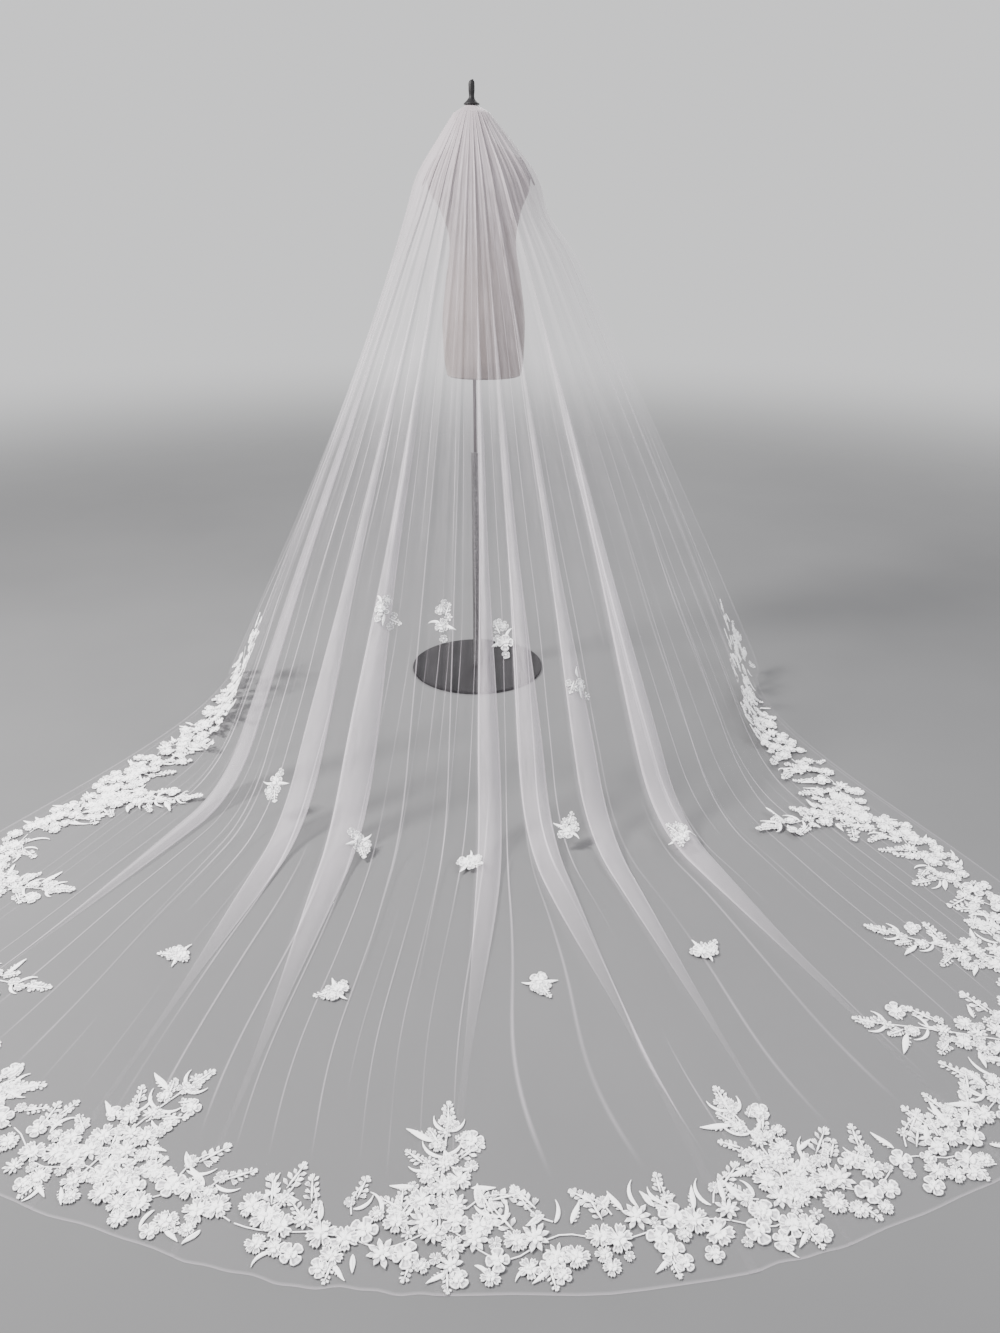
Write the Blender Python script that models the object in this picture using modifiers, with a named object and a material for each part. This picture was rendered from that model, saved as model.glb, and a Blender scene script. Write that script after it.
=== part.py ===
"""A single-tier bridal veil of tulle with lace appliques, on a limbless dress form.

Metres, +Z up. The origin is on the floor, under the centre of the stand's base plate. The veil
hangs from the form's neck and its train lies on the floor towards -Y, with +X on the right of
someone who looks at the form's back.

The tulle is worked out from rings (neck, cap, shoulder, touchdown, hem) and from the table FOLDS, with
one row for each pleat that runs down from the gathers. The lace is worked out in plan, from LACE_RUNS,
SPRAYS and MOTIFS, and laid on the tulle. "Ahead" below means towards -Y.
"""

import math
import random

import bmesh
import bpy
import numpy as np
from mathutils import Vector
from mathutils.bvhtree import BVHTree
from mathutils.geometry import delaunay_2d_cdt

NAME = "bridal_veil_on_dress_form"
GAP = 0.0003

# Tulle: rings from the gathered top to the hem, in plan and height
TULLE_THICK = 0.0012
NECK_R = 0.016
NECK_Z = 1.634
CAP_RING_R = 0.049
CAP_RING_Z = 1.616
SHOULDER_Z = 1.465
SHOULDER_LEFT = 0.157
SHOULDER_RIGHT = 0.183
SHOULDER_BACK = 0.148
TOUCH_LEFT = 0.73
TOUCH_RIGHT = 0.81
TOUCH_FRONT = 1.02
TOUCH_POWER = 3.4
TOUCH_FLARE_LEFT = 0.08
TOUCH_FLARE_RIGHT = 0.12
HEM_CENTRE = 1.35
HEM_DEPTH = 0.78
HEM_LEFT = 1.33
HEM_RIGHT = 1.26
HEM_POWER_LEFT = 1.72
HEM_POWER_RIGHT = 2.12
EDGE_WAIST_LEFT = 0.66
EDGE_WAIST_RIGHT = 0.76
SAG_LEFT = -0.037
SAG_RIGHT = 0.012
SAG_POWER = 0.8
UNDER_SHOULDER = 0.026
UNDER_PLACE = 0.065
UNDER_SPREAD = 0.045
FLARE_POWER = 6
WAIST_POWER = 4
SHOULDER_CUT = 0.05
TOUCH_CUT = 0.16
TOUCH_CUT_EDGE = 0.07
SLOPE_LENGTH = 1.7
FLOOR_LENGTH = 1.1

# One row for each fold, from the left edge to the right one: the angle at which it comes down to the
# floor and the one at which it would meet the hem (degrees from straight forward), its half width as
# a share of the way to the next fold, its height where the cloth hangs, and how far along the train
# it runs, as a share of the way from the touchdown to the hem.
FOLD_COLUMNS = ("touch_deg", "hem_deg", "half_width", "height", "runs_to")
FOLDS = (
    (-77, -84.0, 0.22, 0.010, -0.06),
    (-64, -79.5, 0.22, 0.012, -0.04),
    (-53, -76.0, 0.22, 0.010, 0.30),
    (-46, -73.0, 0.22, 0.012, 0.55),
    (-38, -69.0, 0.30, 0.026, 0.72),
    (-31, -58.0, 0.22, 0.016, 0.60),
    (-24, -45.0, 0.26, 0.020, 0.66),
    (-16, -29.0, 0.34, 0.032, 0.74),
    (-9, -18.5, 0.22, 0.012, 0.60),
    (-3, -9.5, 0.22, 0.012, 0.60),
    (3, -1.0, 0.34, 0.030, 0.66),
    (9, 31.0, 0.30, 0.028, 0.62),
    (17, 40.0, 0.32, 0.028, 0.74),
    (27, 57.0, 0.34, 0.030, 0.70),
    (34, 64.0, 0.22, 0.014, 0.56),
    (42, 70.0, 0.22, 0.012, 0.56),
    (51, 75.0, 0.22, 0.012, 0.30),
    (64, 80.0, 0.22, 0.012, -0.04),
    (77, 84.5, 0.22, 0.010, -0.06),
)
NARROW_PROFILE = ((-1.0, 0.0), (0.0, 1.0), (1.0, 0.0))
BROAD_PROFILE = ((-1.0, 0.0), (-0.45, 0.8), (0.0, 1.0), (0.45, 0.8), (1.0, 0.0))
EDGE_DEG = 90.0
PLEAT_SHARE = 0.35
CROWDED_PITCH = 0.006
BROAD_FOLD = 0.28
FADED_WIDTH = 0.35
FADE_START = 0.85
STEP = 0.001
WELD = 0.0009
FLAT_ANGLE = 0.01
CUT_ANGLE = 0.03
RIM_SLOPE = 0.2
PROBE = 0.0003
SEAM_GAP = 0.0008

# Rows of the tulle: the leg of the way down, and how far along it. The legs' own places on that way
# count from 0 at the neck through 1 at the touchdown to 2 at the hem.
LEG_PLACES = {
    "cap": (0.0, 0.03),
    "shoulder": (0.03, 0.09),
    "turn_shoulder": (0.09, 0.15),
    "hang": (0.15, 0.9),
    "turn_floor": (0.9, 1.145),
    "lie": (1.145, 2.0),
}
DRAPE_ROWS = (
    ("cap", 0.0),
    ("cap", 1.0),
    ("shoulder", 0.45),
    ("turn_shoulder", 0.0),
    ("turn_shoulder", 0.5),
    ("turn_shoulder", 1.0),
    ("hang", 0.22),
    ("hang", 0.44),
    ("hang", 0.66),
    ("hang", 0.84),
    ("turn_floor", 0.0),
    ("turn_floor", 0.3),
    ("turn_floor", 0.6),
)
TRAIN_ROWS = (
    ("turn_floor", 0.6),
    ("turn_floor", 0.8),
    ("turn_floor", 1.0),
    ("lie", 0.26),
    ("lie", 0.37),
    ("lie", 0.48),
    ("lie", 0.60),
    ("lie", 0.74),
    ("lie", 0.87),
    ("lie", 1.0),
)

# Lace: a garland along the edge of the train, in runs, with sprays that point into the train. Places
# along the edge are lengths from the left touchdown, round the hem, to the right touchdown.
LACE_THICK = 0.0012
LACE_GAP = 0.0004
EDGE_INSET = 0.080
END_INSET = 0.042
END_LENGTH = 0.45
STEM_WIDTH = 0.006
BLOSSOM_R = 0.031
BLOSSOM_NOTCH = 0.6
BLOSSOM_PITCH = 0.130
BLOSSOM_OFFSET = 0.024
PETALS = 5
LEAF_LENGTH = 0.066
LEAF_WIDTH = 0.026
LEAF_ANGLE = 55.0
LEAF_WIDEST = 0.42
SPRAY_BLOSSOMS = (0.18, 0.50)
SPRAY_LEAVES = (0.36, 0.70)
RUN_GAP = 0.006
SMALLEST_HOLE = 0.00003
PLAN_EPSILON = 0.0004
SPRAY_BLOSSOM_OUT = 0.55
BLOSSOM_VARIES = (0.9, 1.1)
LEAN_VARIES = (0.8, 1.2)
REACH_VARIES = (0.8, 1.0)
BLOSSOM_PLACE = 0.30
LEAF_PLACE = 0.78
EDGE_STEPS = 60
INSET_STEP = 0.03
SEED = 7
LACE_START = 0.05
# One row for each run: its name and where it ends
LACE_RUNS = (
    ("left_side", 0.60),
    ("left_upper", 1.02),
    ("left_mid", 1.42),
    ("left_corner", 1.86),
    ("left_lower", 2.30),
    ("hem_left", 2.76),
    ("hem_centre", 3.32),
    ("hem_right", 3.86),
    ("right_lower", 4.22),
    ("right_corner", 4.48),
    ("right_mid", 4.96),
    ("right_upper", 5.56),
    ("right_side", 6.11),
)
# One row for each spray
SPRAY_COLUMNS = ("along", "tip_x", "tip_ahead", "half_width")
SPRAYS = (
    (0.84, -0.697, 0.830, 0.070),
    (1.22, -0.874, 1.205, 0.080),
    (1.61, -0.787, 1.529, 0.090),
    (2.10, -0.727, 1.763, 0.070),
    (2.48, -0.430, 1.724, 0.100),
    (3.09, -0.006, 1.800, 0.100),
    (3.67, 0.442, 1.767, 0.100),
    (4.35, 0.721, 1.600, 0.090),
    (4.63, 0.844, 1.326, 0.085),
    (5.30, 0.699, 0.968, 0.080),
)

# Small loose motifs, one row for each
MOTIF_LEAVES = (0.0, 140.0)
MOTIF_LEAF_REACH = (0.3, 1.7)
MOTIF_COLUMNS = ("x", "ahead", "turn_deg")
MOTIFS = (
    (-0.206, 0.748, 20),
    (-0.065, 0.750, 75),
    (0.082, 0.769, 130),
    (0.262, 0.831, 200),
    (-0.483, 0.899, 250),
    (-0.254, 1.063, 310),
    (0.006, 1.119, 340),
    (0.237, 1.029, 60),
    (0.502, 1.039, 110),
    (-0.581, 1.420, 160),
    (-0.245, 1.526, 215),
    (0.153, 1.506, 280),
    (0.494, 1.410, 30),
)

# Dress form: level sections of the torso, from the bottom up
SECTION_COLUMNS = ("height", "half_width", "half_depth", "aside", "back")
TORSO_SECTIONS = (
    (0.938, 0.108, 0.086, 0.028, 0.000),
    (0.990, 0.116, 0.096, 0.028, 0.000),
    (1.080, 0.119, 0.100, 0.028, 0.000),
    (1.190, 0.108, 0.088, 0.028, 0.004),
    (1.300, 0.093, 0.076, 0.027, 0.008),
    (1.380, 0.112, 0.088, 0.022, 0.010),
    (1.440, 0.140, 0.096, 0.017, 0.008),
    (1.480, 0.142, 0.088, 0.016, 0.002),
    (1.508, 0.118, 0.074, 0.014, -0.004),
    (1.530, 0.082, 0.062, 0.010, -0.006),
    (1.552, 0.054, 0.050, 0.004, -0.004),
    (1.575, 0.045, 0.045, 0.000, 0.000),
    (1.5997, 0.044, 0.044, 0.000, 0.000),
)
TORSO_SIDES = 26
ARM_PLANE_Z = 1.477
ARM_PLANE_OUT = 0.132
ARM_PLANE_ASIDE = 0.016
ARM_TILT = 30.0
ARM_PLATE_HALF = (0.040, 0.030)
ARM_PLATE_THICK = 0.004
CAP_PROFILE = (
    (0.0, 1.6325),
    (0.014, 1.6325),
    (0.024, 1.6291),
    (0.0465, 1.6166),
    (0.0478, 1.6135),
)
CAP_BOTTOM = 1.6
FINIAL_POST_R = 0.009
FINIAL_PROFILE = (
    (0.0215, 1.6365),
    (0.0215, 1.639),
    (0.0125, 1.647),
    (0.0072, 1.657),
    (0.0083, 1.668),
    (0.0083, 1.688),
    (0.0050, 1.697),
)
BASE_R = 0.2135
BASE_THICK = 0.010
BASE_BEVEL = 0.002
TUBE_R = 0.013
TUBE_TOP = 0.714
ROD_R = 0.005
SIDES = 20
AXIS_WELD = 0.00001


def fold_column(name):
    index = FOLD_COLUMNS.index(name)
    return [row[index] for row in FOLDS]


TOUCH_DEG = [-EDGE_DEG, *fold_column("touch_deg"), EDGE_DEG]
HEM_DEG = [-EDGE_DEG, *fold_column("hem_deg"), EDGE_DEG]


def by_side(angle, left, right):
    """A size that goes smoothly from its left value through their mean to its right one."""
    share = (1.0 + np.sin(angle)) / 2.0
    return left + (right - left) * share


def neck_ring(angle):
    return np.stack([NECK_R * np.sin(angle), -NECK_R * np.cos(angle), np.full_like(angle, NECK_Z)], -1)


def cap_ring(angle):
    flat = np.full_like(angle, CAP_RING_Z)
    return np.stack([CAP_RING_R * np.sin(angle), -CAP_RING_R * np.cos(angle), flat], -1)


def shoulder_ring(angle):
    side = by_side(angle, SHOULDER_LEFT, SHOULDER_RIGHT)
    height = np.full_like(angle, SHOULDER_Z)
    return np.stack([side * np.sin(angle), -SHOULDER_BACK * np.cos(angle), height], -1)


def edge_share(angle, power):
    """0 in the middle of the veil and 1 at its side edges, most of the rise being near the edges."""
    return (np.abs(angle) / math.radians(EDGE_DEG)) ** power


def touch_ring(angle):
    """Where the slope of the hanging cloth would meet the floor: a rounded box that flares at the edges."""
    side = np.where(angle < 0, TOUCH_LEFT, TOUCH_RIGHT)
    flare = np.where(angle < 0, TOUCH_FLARE_LEFT, TOUCH_FLARE_RIGHT) * edge_share(angle, FLARE_POWER)
    across = np.abs(np.sin(angle)) / side
    ahead = np.clip(np.cos(angle), 0, None) / TOUCH_FRONT
    radius = (across**TOUCH_POWER + ahead**TOUCH_POWER) ** (-1.0 / TOUCH_POWER) + flare
    return np.stack([radius * np.sin(angle), -radius * np.cos(angle), np.zeros_like(angle)], -1)


def hem_ring(angle):
    """The hem's curve in plan: two quarters of a superellipse."""
    side = np.where(angle < 0, HEM_LEFT, HEM_RIGHT)
    power = np.where(angle < 0, HEM_POWER_LEFT, HEM_POWER_RIGHT)
    across = np.abs(np.sin(angle)) / side
    ahead = np.clip(np.cos(angle), 0, None) / HEM_DEPTH
    radius = (across**power + ahead**power) ** (-1.0 / power)
    return np.stack([radius * np.sin(angle), -HEM_CENTRE - radius * np.cos(angle), np.zeros_like(angle)], -1)


def hang(touch_angle, share):
    """A point of the slope from shoulder to floor, with its sag or belly and the hollow under the arm."""
    start = shoulder_ring(touch_angle)
    end = touch_ring(touch_angle)
    out = np.stack([np.sin(touch_angle), -np.cos(touch_angle), np.zeros_like(touch_angle)], -1)
    sideways = np.abs(np.sin(touch_angle)) ** 2
    sag = by_side(touch_angle, SAG_LEFT, SAG_RIGHT) * np.sin(np.pi * share**SAG_POWER)
    near_arm = np.exp(-(((share - UNDER_PLACE) / UNDER_SPREAD) ** 2))
    hollow = by_side(touch_angle, 0.0, UNDER_SHOULDER) * near_arm
    return start + (end - start) * share[..., None] + out * (sideways * (sag - hollow))[..., None]


def lie(touch_angle, hem_angle, share):
    """A point of the train, with the side edges drawn in just past the stand."""
    start = touch_ring(touch_angle)
    end = hem_ring(hem_angle)
    point = start + (end - start) * share
    waist = by_side(touch_angle, EDGE_WAIST_LEFT, EDGE_WAIST_RIGHT) * edge_share(touch_angle, WAIST_POWER)
    point[..., 0] -= np.sign(touch_angle) * waist * (share * (1.0 - share) ** 2)[..., 0]
    return point


def bend(start, corner, end, share):
    """A quadratic curve that starts and ends along the two legs that meet at the corner."""
    return start * (1 - share) ** 2 + 2 * corner * share * (1 - share) + end * share**2


def tulle_base(touch_angle, hem_angle, leg, share):
    """The smooth surface under the folds: straight legs from ring to ring, with a turn at each ring."""
    cap = cap_ring(touch_angle)
    shoulder = shoulder_ring(touch_angle)
    if leg == "cap":
        neck = neck_ring(touch_angle)
        return neck + (cap - neck) * share
    cut_above = 1.0 - SHOULDER_CUT / np.linalg.norm(shoulder - cap, axis=-1)[..., None]
    shoulder_start = cap + (shoulder - cap) * cut_above
    if leg == "shoulder":
        return cap + (shoulder_start - cap) * share
    below = np.full_like(touch_angle, SHOULDER_CUT / SLOPE_LENGTH)[..., None]
    if leg == "turn_shoulder":
        return bend(shoulder_start, shoulder, hang(touch_angle, below[..., 0]), share)
    cut = TOUCH_CUT + (TOUCH_CUT_EDGE - TOUCH_CUT) * edge_share(touch_angle, WAIST_POWER)[..., None]
    slope_end = 1.0 - cut / SLOPE_LENGTH
    if leg == "hang":
        return hang(touch_angle, (below + (slope_end - below) * share)[..., 0])
    floor_start = cut / FLOOR_LENGTH
    if leg == "turn_floor":
        end = lie(touch_angle, hem_angle, floor_start)
        return bend(hang(touch_angle, slope_end[..., 0]), touch_ring(touch_angle), end, share)
    return lie(touch_angle, hem_angle, floor_start + (1.0 - floor_start) * share)


def angles_at(index):
    """The touchdown and hem angles at a place counted in folds from the left edge."""
    folds = np.arange(len(TOUCH_DEG))
    touch = np.radians(np.interp(index, folds, TOUCH_DEG))
    return touch, np.radians(np.interp(index, folds, HEM_DEG))


def row_place(leg, share):
    """How far down the veil a row is: under 1 hanging, 1 at the touchdown, 2 at the hem."""
    start, end = LEG_PLACES[leg]
    return start + (end - start) * share


def fold_reach(runs_to, place):
    """1 where the cloth hangs, falling to 0 where the fold runs out on the floor."""
    end = 1.0 + runs_to
    share = min(max((end - place) / (end - FADE_START), 0.0), 1.0)
    return share * share * (3 - 2 * share)


def columns(place):
    """Each column's place counted in folds, and how high it stands as a share of its fold's height."""
    spots = [(0.0, None, 0.0), (0.5, None, 0.0)]
    for number, row in enumerate(FOLDS):
        fold = dict(zip(FOLD_COLUMNS, row))
        narrow = FADED_WIDTH + (1.0 - FADED_WIDTH) * fold_reach(fold["runs_to"], place)
        broad = fold["half_width"] > BROAD_FOLD
        for side, lift in BROAD_PROFILE if broad else NARROW_PROFILE:
            spots.append((number + 1 + side * fold["half_width"] * narrow, number, lift))
        spots.append((number + 1.5, None, 0.0))
    spots.append((len(FOLDS) + 1.0, None, 0.0))
    return spots


def surface_normal(index, leg, share):
    """The outward normal of the smooth surface, from nearby points on it."""
    last = len(FOLDS) + 1.0
    left = tulle_base(*angles_at(np.clip(index - STEP, 0, last)), leg, share)
    right = tulle_base(*angles_at(np.clip(index + STEP, 0, last)), leg, share)
    above = tulle_base(*angles_at(index), leg, max(share - STEP, 0.0))
    below = tulle_base(*angles_at(index), leg, min(share + STEP, 1.0))
    normal = np.cross(below - above, right - left)
    return normal / np.linalg.norm(normal, axis=1)[:, None]


def tulle_row(leg, share):
    """One row of the tulle's inner face, folds included."""
    place = row_place(leg, share)
    spots = columns(place)
    index = np.array([spot[0] for spot in spots])
    here = tulle_base(*angles_at(index), leg, share)
    normal = surface_normal(index, leg, share)
    before = tulle_base(*angles_at(index - 0.5), leg, share)
    after = tulle_base(*angles_at(index + 0.5), leg, share)
    pitch = np.linalg.norm(after - before, axis=1)
    lift = np.zeros(len(spots))
    for number, (_, fold, share_up) in enumerate(spots):
        if fold is not None:
            row = dict(zip(FOLD_COLUMNS, FOLDS[fold]))
            height = min(row["height"], PLEAT_SHARE * max(pitch[number] - CROWDED_PITCH, 0.0))
            lift[number] = share_up * height * fold_reach(row["runs_to"], place)
    return here + normal * lift[:, None]


def collect(name):
    collection = bpy.data.collections.new(name)
    bpy.context.scene.collection.children.link(collection)
    return collection


def material(name, colour, roughness, metallic=0.0):
    made = bpy.data.materials.new(name)
    made.use_nodes = True
    shader = made.node_tree.nodes["Principled BSDF"]
    shader.inputs["Base Color"].default_value = (*colour, 1.0)
    shader.inputs["Roughness"].default_value = roughness
    shader.inputs["Metallic"].default_value = metallic
    made.diffuse_color = (*colour, 1.0)
    return made


def add_object(name, mesh, finish, collection):
    made = bpy.data.objects.new(name, mesh)
    mesh.materials.append(finish)
    collection.objects.link(made)
    return made


def drawn_back(points):
    """The last row of some points, drawn back along the cloth, square to the row, by the gap at a seam."""
    along = np.gradient(points[-1], axis=0)
    along /= np.linalg.norm(along, axis=1)[:, None]
    back = points[-2] - points[-1]
    back -= along * (back * along).sum(axis=1)[:, None]
    return points[-1] + back / np.linalg.norm(back, axis=1)[:, None] * SEAM_GAP


def cloth_sheet(rows, seam_below):
    """The tulle's inner face over some of its rows, in triangles, with its flat stretches merged."""
    points = np.array([tulle_row(leg, share) for leg, share in rows])
    if seam_below:
        points[-1] = drawn_back(points)
    across = points.shape[1]
    sheet = bmesh.new()
    bmesh.ops.create_grid(sheet, x_segments=across - 1, y_segments=len(rows) - 1, size=1.0)
    for vert in sheet.verts:
        column = round((vert.co.x + 1) / 2 * (across - 1))
        row = round((vert.co.y + 1) / 2 * (len(rows) - 1))
        vert.co = Vector(points[row, column])
    bmesh.ops.remove_doubles(sheet, verts=sheet.verts, dist=WELD)
    bmesh.ops.reverse_faces(sheet, faces=sheet.faces)
    bmesh.ops.triangulate(sheet, faces=sheet.faces)
    merge_flats(sheet)
    return sheet


def merge_flats(sheet):
    bmesh.ops.dissolve_limit(sheet, angle_limit=FLAT_ANGLE, verts=sheet.verts, edges=sheet.edges)
    bmesh.ops.triangulate(sheet, faces=sheet.faces)


def tulle_piece(name, sheet, finish, collection):
    """A stretch of the tulle: its inner face thickened outwards."""
    mesh = bpy.data.meshes.new(name)
    sheet.to_mesh(mesh)
    sheet.free()
    made = add_object(name, mesh, finish, collection)
    shell = made.modifiers.new("thickness", "SOLIDIFY")
    shell.thickness = TULLE_THICK
    shell.offset = 1.0
    return made


def tulle_skin(pieces):
    """The thickened tulle, its pieces together, for the lace to lie on."""
    graph = bpy.context.evaluated_depsgraph_get()
    skin = bmesh.new()
    for piece in pieces:
        solid = bpy.data.meshes.new_from_object(piece.evaluated_get(graph))
        skin.from_mesh(solid)
        bpy.data.meshes.remove(solid)
    bmesh.ops.triangulate(skin, faces=skin.faces)
    return skin


def creases(skin):
    """The edges of the tulle's outer face in plan, but for those where it hardly bends."""
    found = []
    for edge in skin.edges:
        outer = max(face.normal.z for face in edge.link_faces) > RIM_SLOPE
        if outer and edge.calc_face_angle() > CUT_ANGLE:
            found.append([vert.co.xy for vert in edge.verts])
    return found


def cloth_under(tree, spot):
    """The height of the tulle's outer face about a place in plan, and its slope's stretch of a thickness."""
    heights = []
    slopes = []
    for across, along in ((0, 0), (PROBE, 0), (-PROBE, 0), (0, PROBE), (0, -PROBE)):
        start = Vector((spot.x + across, spot.y + along, NECK_Z))
        found, normal, _, _ = tree.ray_cast(start, Vector((0, 0, -1)))
        if found and normal.z > RIM_SLOPE:
            heights.append(found.z)
            slopes.append(normal.z)
    return max(heights), 1.0 / min(slopes)


def edge_curve():
    """The edge of the train in plan: down its left side, round the hem and back up its right side."""
    side = math.radians(EDGE_DEG)
    down = np.linspace(0.0, 1.0, EDGE_STEPS)[:, None]
    left = lie(np.full(EDGE_STEPS, -side), np.full(EDGE_STEPS, -side), down)
    right = lie(np.full(EDGE_STEPS, side), np.full(EDGE_STEPS, side), down[::-1])
    hem = hem_ring(np.linspace(-side, side, 2 * EDGE_STEPS))
    curve = np.vstack([left[:-1], hem, right[1:]])[:, :2]
    lengths = np.concatenate([[0.0], np.cumsum(np.linalg.norm(np.diff(curve, axis=0), axis=1))])
    return curve, lengths


def band_inset(edge, along):
    """How far in from the edge the garland's stem lies: nearer to it at both of its ends."""
    from_end = min(along, edge[1][-1] - along)
    share = min(max(from_end / END_LENGTH, 0.0), 1.0)
    return END_INSET + (EDGE_INSET - END_INSET) * share


def edge_spot(edge, along, inset):
    """A place at a length along the edge and a distance in from it, and the direction in from the edge."""
    curve, lengths = edge
    near = np.array([along - INSET_STEP, along, along + INSET_STEP])
    spots = np.stack([np.interp(near, lengths, curve[:, axis]) for axis in (0, 1)], -1)
    before, here, after = (Vector(spot) for spot in spots)
    ahead = (after - before).normalized()
    inward = Vector((-ahead.y, ahead.x))
    return here + inward * inset, inward


def turned(direction, degrees):
    angle = math.radians(degrees)
    cosine = math.cos(angle)
    sine = math.sin(angle)
    return Vector((direction.x * cosine - direction.y * sine, direction.x * sine + direction.y * cosine))


def blossom(centre, radius, turn):
    """A flower's outline: a point at each petal's tip and one in each notch between two."""
    outline = []
    for corner in range(2 * PETALS):
        reach = radius if corner % 2 == 0 else radius * BLOSSOM_NOTCH
        outline.append(centre + turned(Vector((reach, 0)), turn + corner * 180 / PETALS))
    return outline


def leaf(base, tip, width):
    """A leaf's outline: its two ends and its widest place."""
    across = turned((tip - base).normalized(), 90) * width / 2
    middle = base.lerp(tip, LEAF_WIDEST)
    return [base, middle - across, tip, middle + across]


def strip(points, width):
    """The outline of a stem along some points."""
    left_side = []
    right_side = []
    for number, point in enumerate(points):
        ahead = points[min(number + 1, len(points) - 1)] - points[max(number - 1, 0)]
        across = turned(ahead.normalized(), 90) * width / 2
        left_side.append(point + across)
        right_side.append(point - across)
    return right_side + left_side[::-1]


def garland(edge, start, end, chance):
    """A run of the lace: a stem along the edge, blossoms on alternate sides of it, and leaves."""
    first = start + RUN_GAP / 2
    last = end - RUN_GAP / 2
    count = round((end - start) / BLOSSOM_PITCH)
    pitch = (last - first) / count
    places = [first + pitch * number for number in range(count + 1)]
    stem = [edge_spot(edge, along, band_inset(edge, along))[0] for along in places]
    outlines = [strip(stem, STEM_WIDTH)]
    for number in range(count):
        side = 1 if number % 2 else -1
        along = places[number] + pitch * BLOSSOM_PLACE
        spot, _ = edge_spot(edge, along, band_inset(edge, along) + side * BLOSSOM_OFFSET)
        outlines.append(blossom(spot, BLOSSOM_R * chance.uniform(*BLOSSOM_VARIES), chance.uniform(0, 360)))
        for turn, share in ((-1, LEAF_PLACE), (1, LEAF_PLACE)):
            along = places[number] + pitch * share
            root, inward = edge_spot(edge, along, band_inset(edge, along))
            lean = turn * (90 - LEAF_ANGLE) * chance.uniform(*LEAN_VARIES)
            reach = min(LEAF_LENGTH, band_inset(edge, along)) * chance.uniform(*REACH_VARIES)
            tip = root + turned(inward * turn * side, side * lean) * reach
            outlines.append(leaf(root, tip, LEAF_WIDTH))
    return outlines


def spray(edge, place, chance):
    """A spray: a stem from the garland to its tip, blossoms beside it and pairs of leaves."""
    base, _ = edge_spot(edge, place["along"], band_inset(edge, place["along"]))
    tip = Vector((place["tip_x"], -place["tip_ahead"]))
    half_width = place["half_width"]
    ahead = (tip - base).normalized()
    outlines = [strip([base, tip], STEM_WIDTH)]
    for number, share in enumerate(SPRAY_BLOSSOMS):
        side = 1 if number % 2 else -1
        spot = base.lerp(tip, share) + turned(ahead, 90) * side * half_width * SPRAY_BLOSSOM_OUT
        outlines.append(blossom(spot, BLOSSOM_R * (1 - share / 3), chance.uniform(0, 360)))
    for share in SPRAY_LEAVES:
        for side in (1, -1):
            root = base.lerp(tip, share)
            reach = half_width * (1 - share / 2)
            end = root + turned(ahead, side * LEAF_ANGLE * chance.uniform(*LEAN_VARIES)) * reach
            outlines.append(leaf(root, end, reach * LEAF_WIDTH / LEAF_LENGTH))
    return outlines


def motif(centre, turn):
    """A small loose motif: a blossom with two leaves."""
    outlines = [blossom(centre, BLOSSOM_R, turn)]
    for side in MOTIF_LEAVES:
        direction = turned(Vector((BLOSSOM_R, 0)), turn + side)
        root, tip = (centre + direction * reach for reach in MOTIF_LEAF_REACH)
        outlines.append(leaf(root, tip, LEAF_WIDTH))
    return outlines


def on_slope(outlines, centre, tree):
    """Outlines foreshortened in plan, down the slope that they lie on."""
    normal = tree.ray_cast(Vector((*centre, NECK_Z)), Vector((0, 0, -1)))[1]
    downhill = Vector((normal.x, normal.y)).normalized()
    shorten = 1.0 - abs(normal.z)
    for outline in outlines:
        for point in outline:
            point -= downhill * (point - centre).dot(downhill) * shorten
    return outlines


def joined_plan(outlines, cuts):
    """The outlines joined in plan: triangles that follow the cuts, with the smallest holes filled."""
    points = []
    faces = []
    for outline in outlines:
        faces.append(list(range(len(points), len(points) + len(outline))))
        points.extend(outline)
    low = np.min(points, axis=0)
    high = np.max(points, axis=0)
    edges = []
    for start, end in cuts:
        ends = np.array([start, end])
        if (ends.max(axis=0) > low).all() and (ends.min(axis=0) < high).all():
            edges.append((len(points), len(points) + 1))
            points.extend((start, end))
    corners, _, triangles, _, _, sources = delaunay_2d_cdt(points, edges, faces, 0, PLAN_EPSILON, True)
    plan = bmesh.new()
    for corner in corners:
        plan.verts.new((*corner, 0.0))
    plan.verts.ensure_lookup_table()
    for triangle, source in zip(triangles, sources):
        face = plan.faces.new([plan.verts[number] for number in triangle])
        face.tag = bool(source)
    fill_small_holes(plan)
    bare = [face for face in plan.faces if not face.tag]
    bmesh.ops.delete(plan, geom=bare, context="FACES")
    return plan


def patches(faces, tagged):
    """The faces with the given tag, in patches that are joined by their edges."""
    left = {face for face in faces if face.tag == tagged}
    found = []
    while left:
        patch = [left.pop()]
        for face in patch:
            for edge in face.edges:
                for other in edge.link_faces:
                    if other in left:
                        left.discard(other)
                        patch.append(other)
        found.append(patch)
    return found


def patch_area(patch):
    return sum(face.calc_area() for face in patch)


def fill_small_holes(plan):
    for patch in patches(plan.faces, False):
        open_air = any(edge.is_boundary for face in patch for edge in face.edges)
        if not open_air and patch_area(patch) < SMALLEST_HOLE:
            for face in patch:
                face.tag = True


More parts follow.
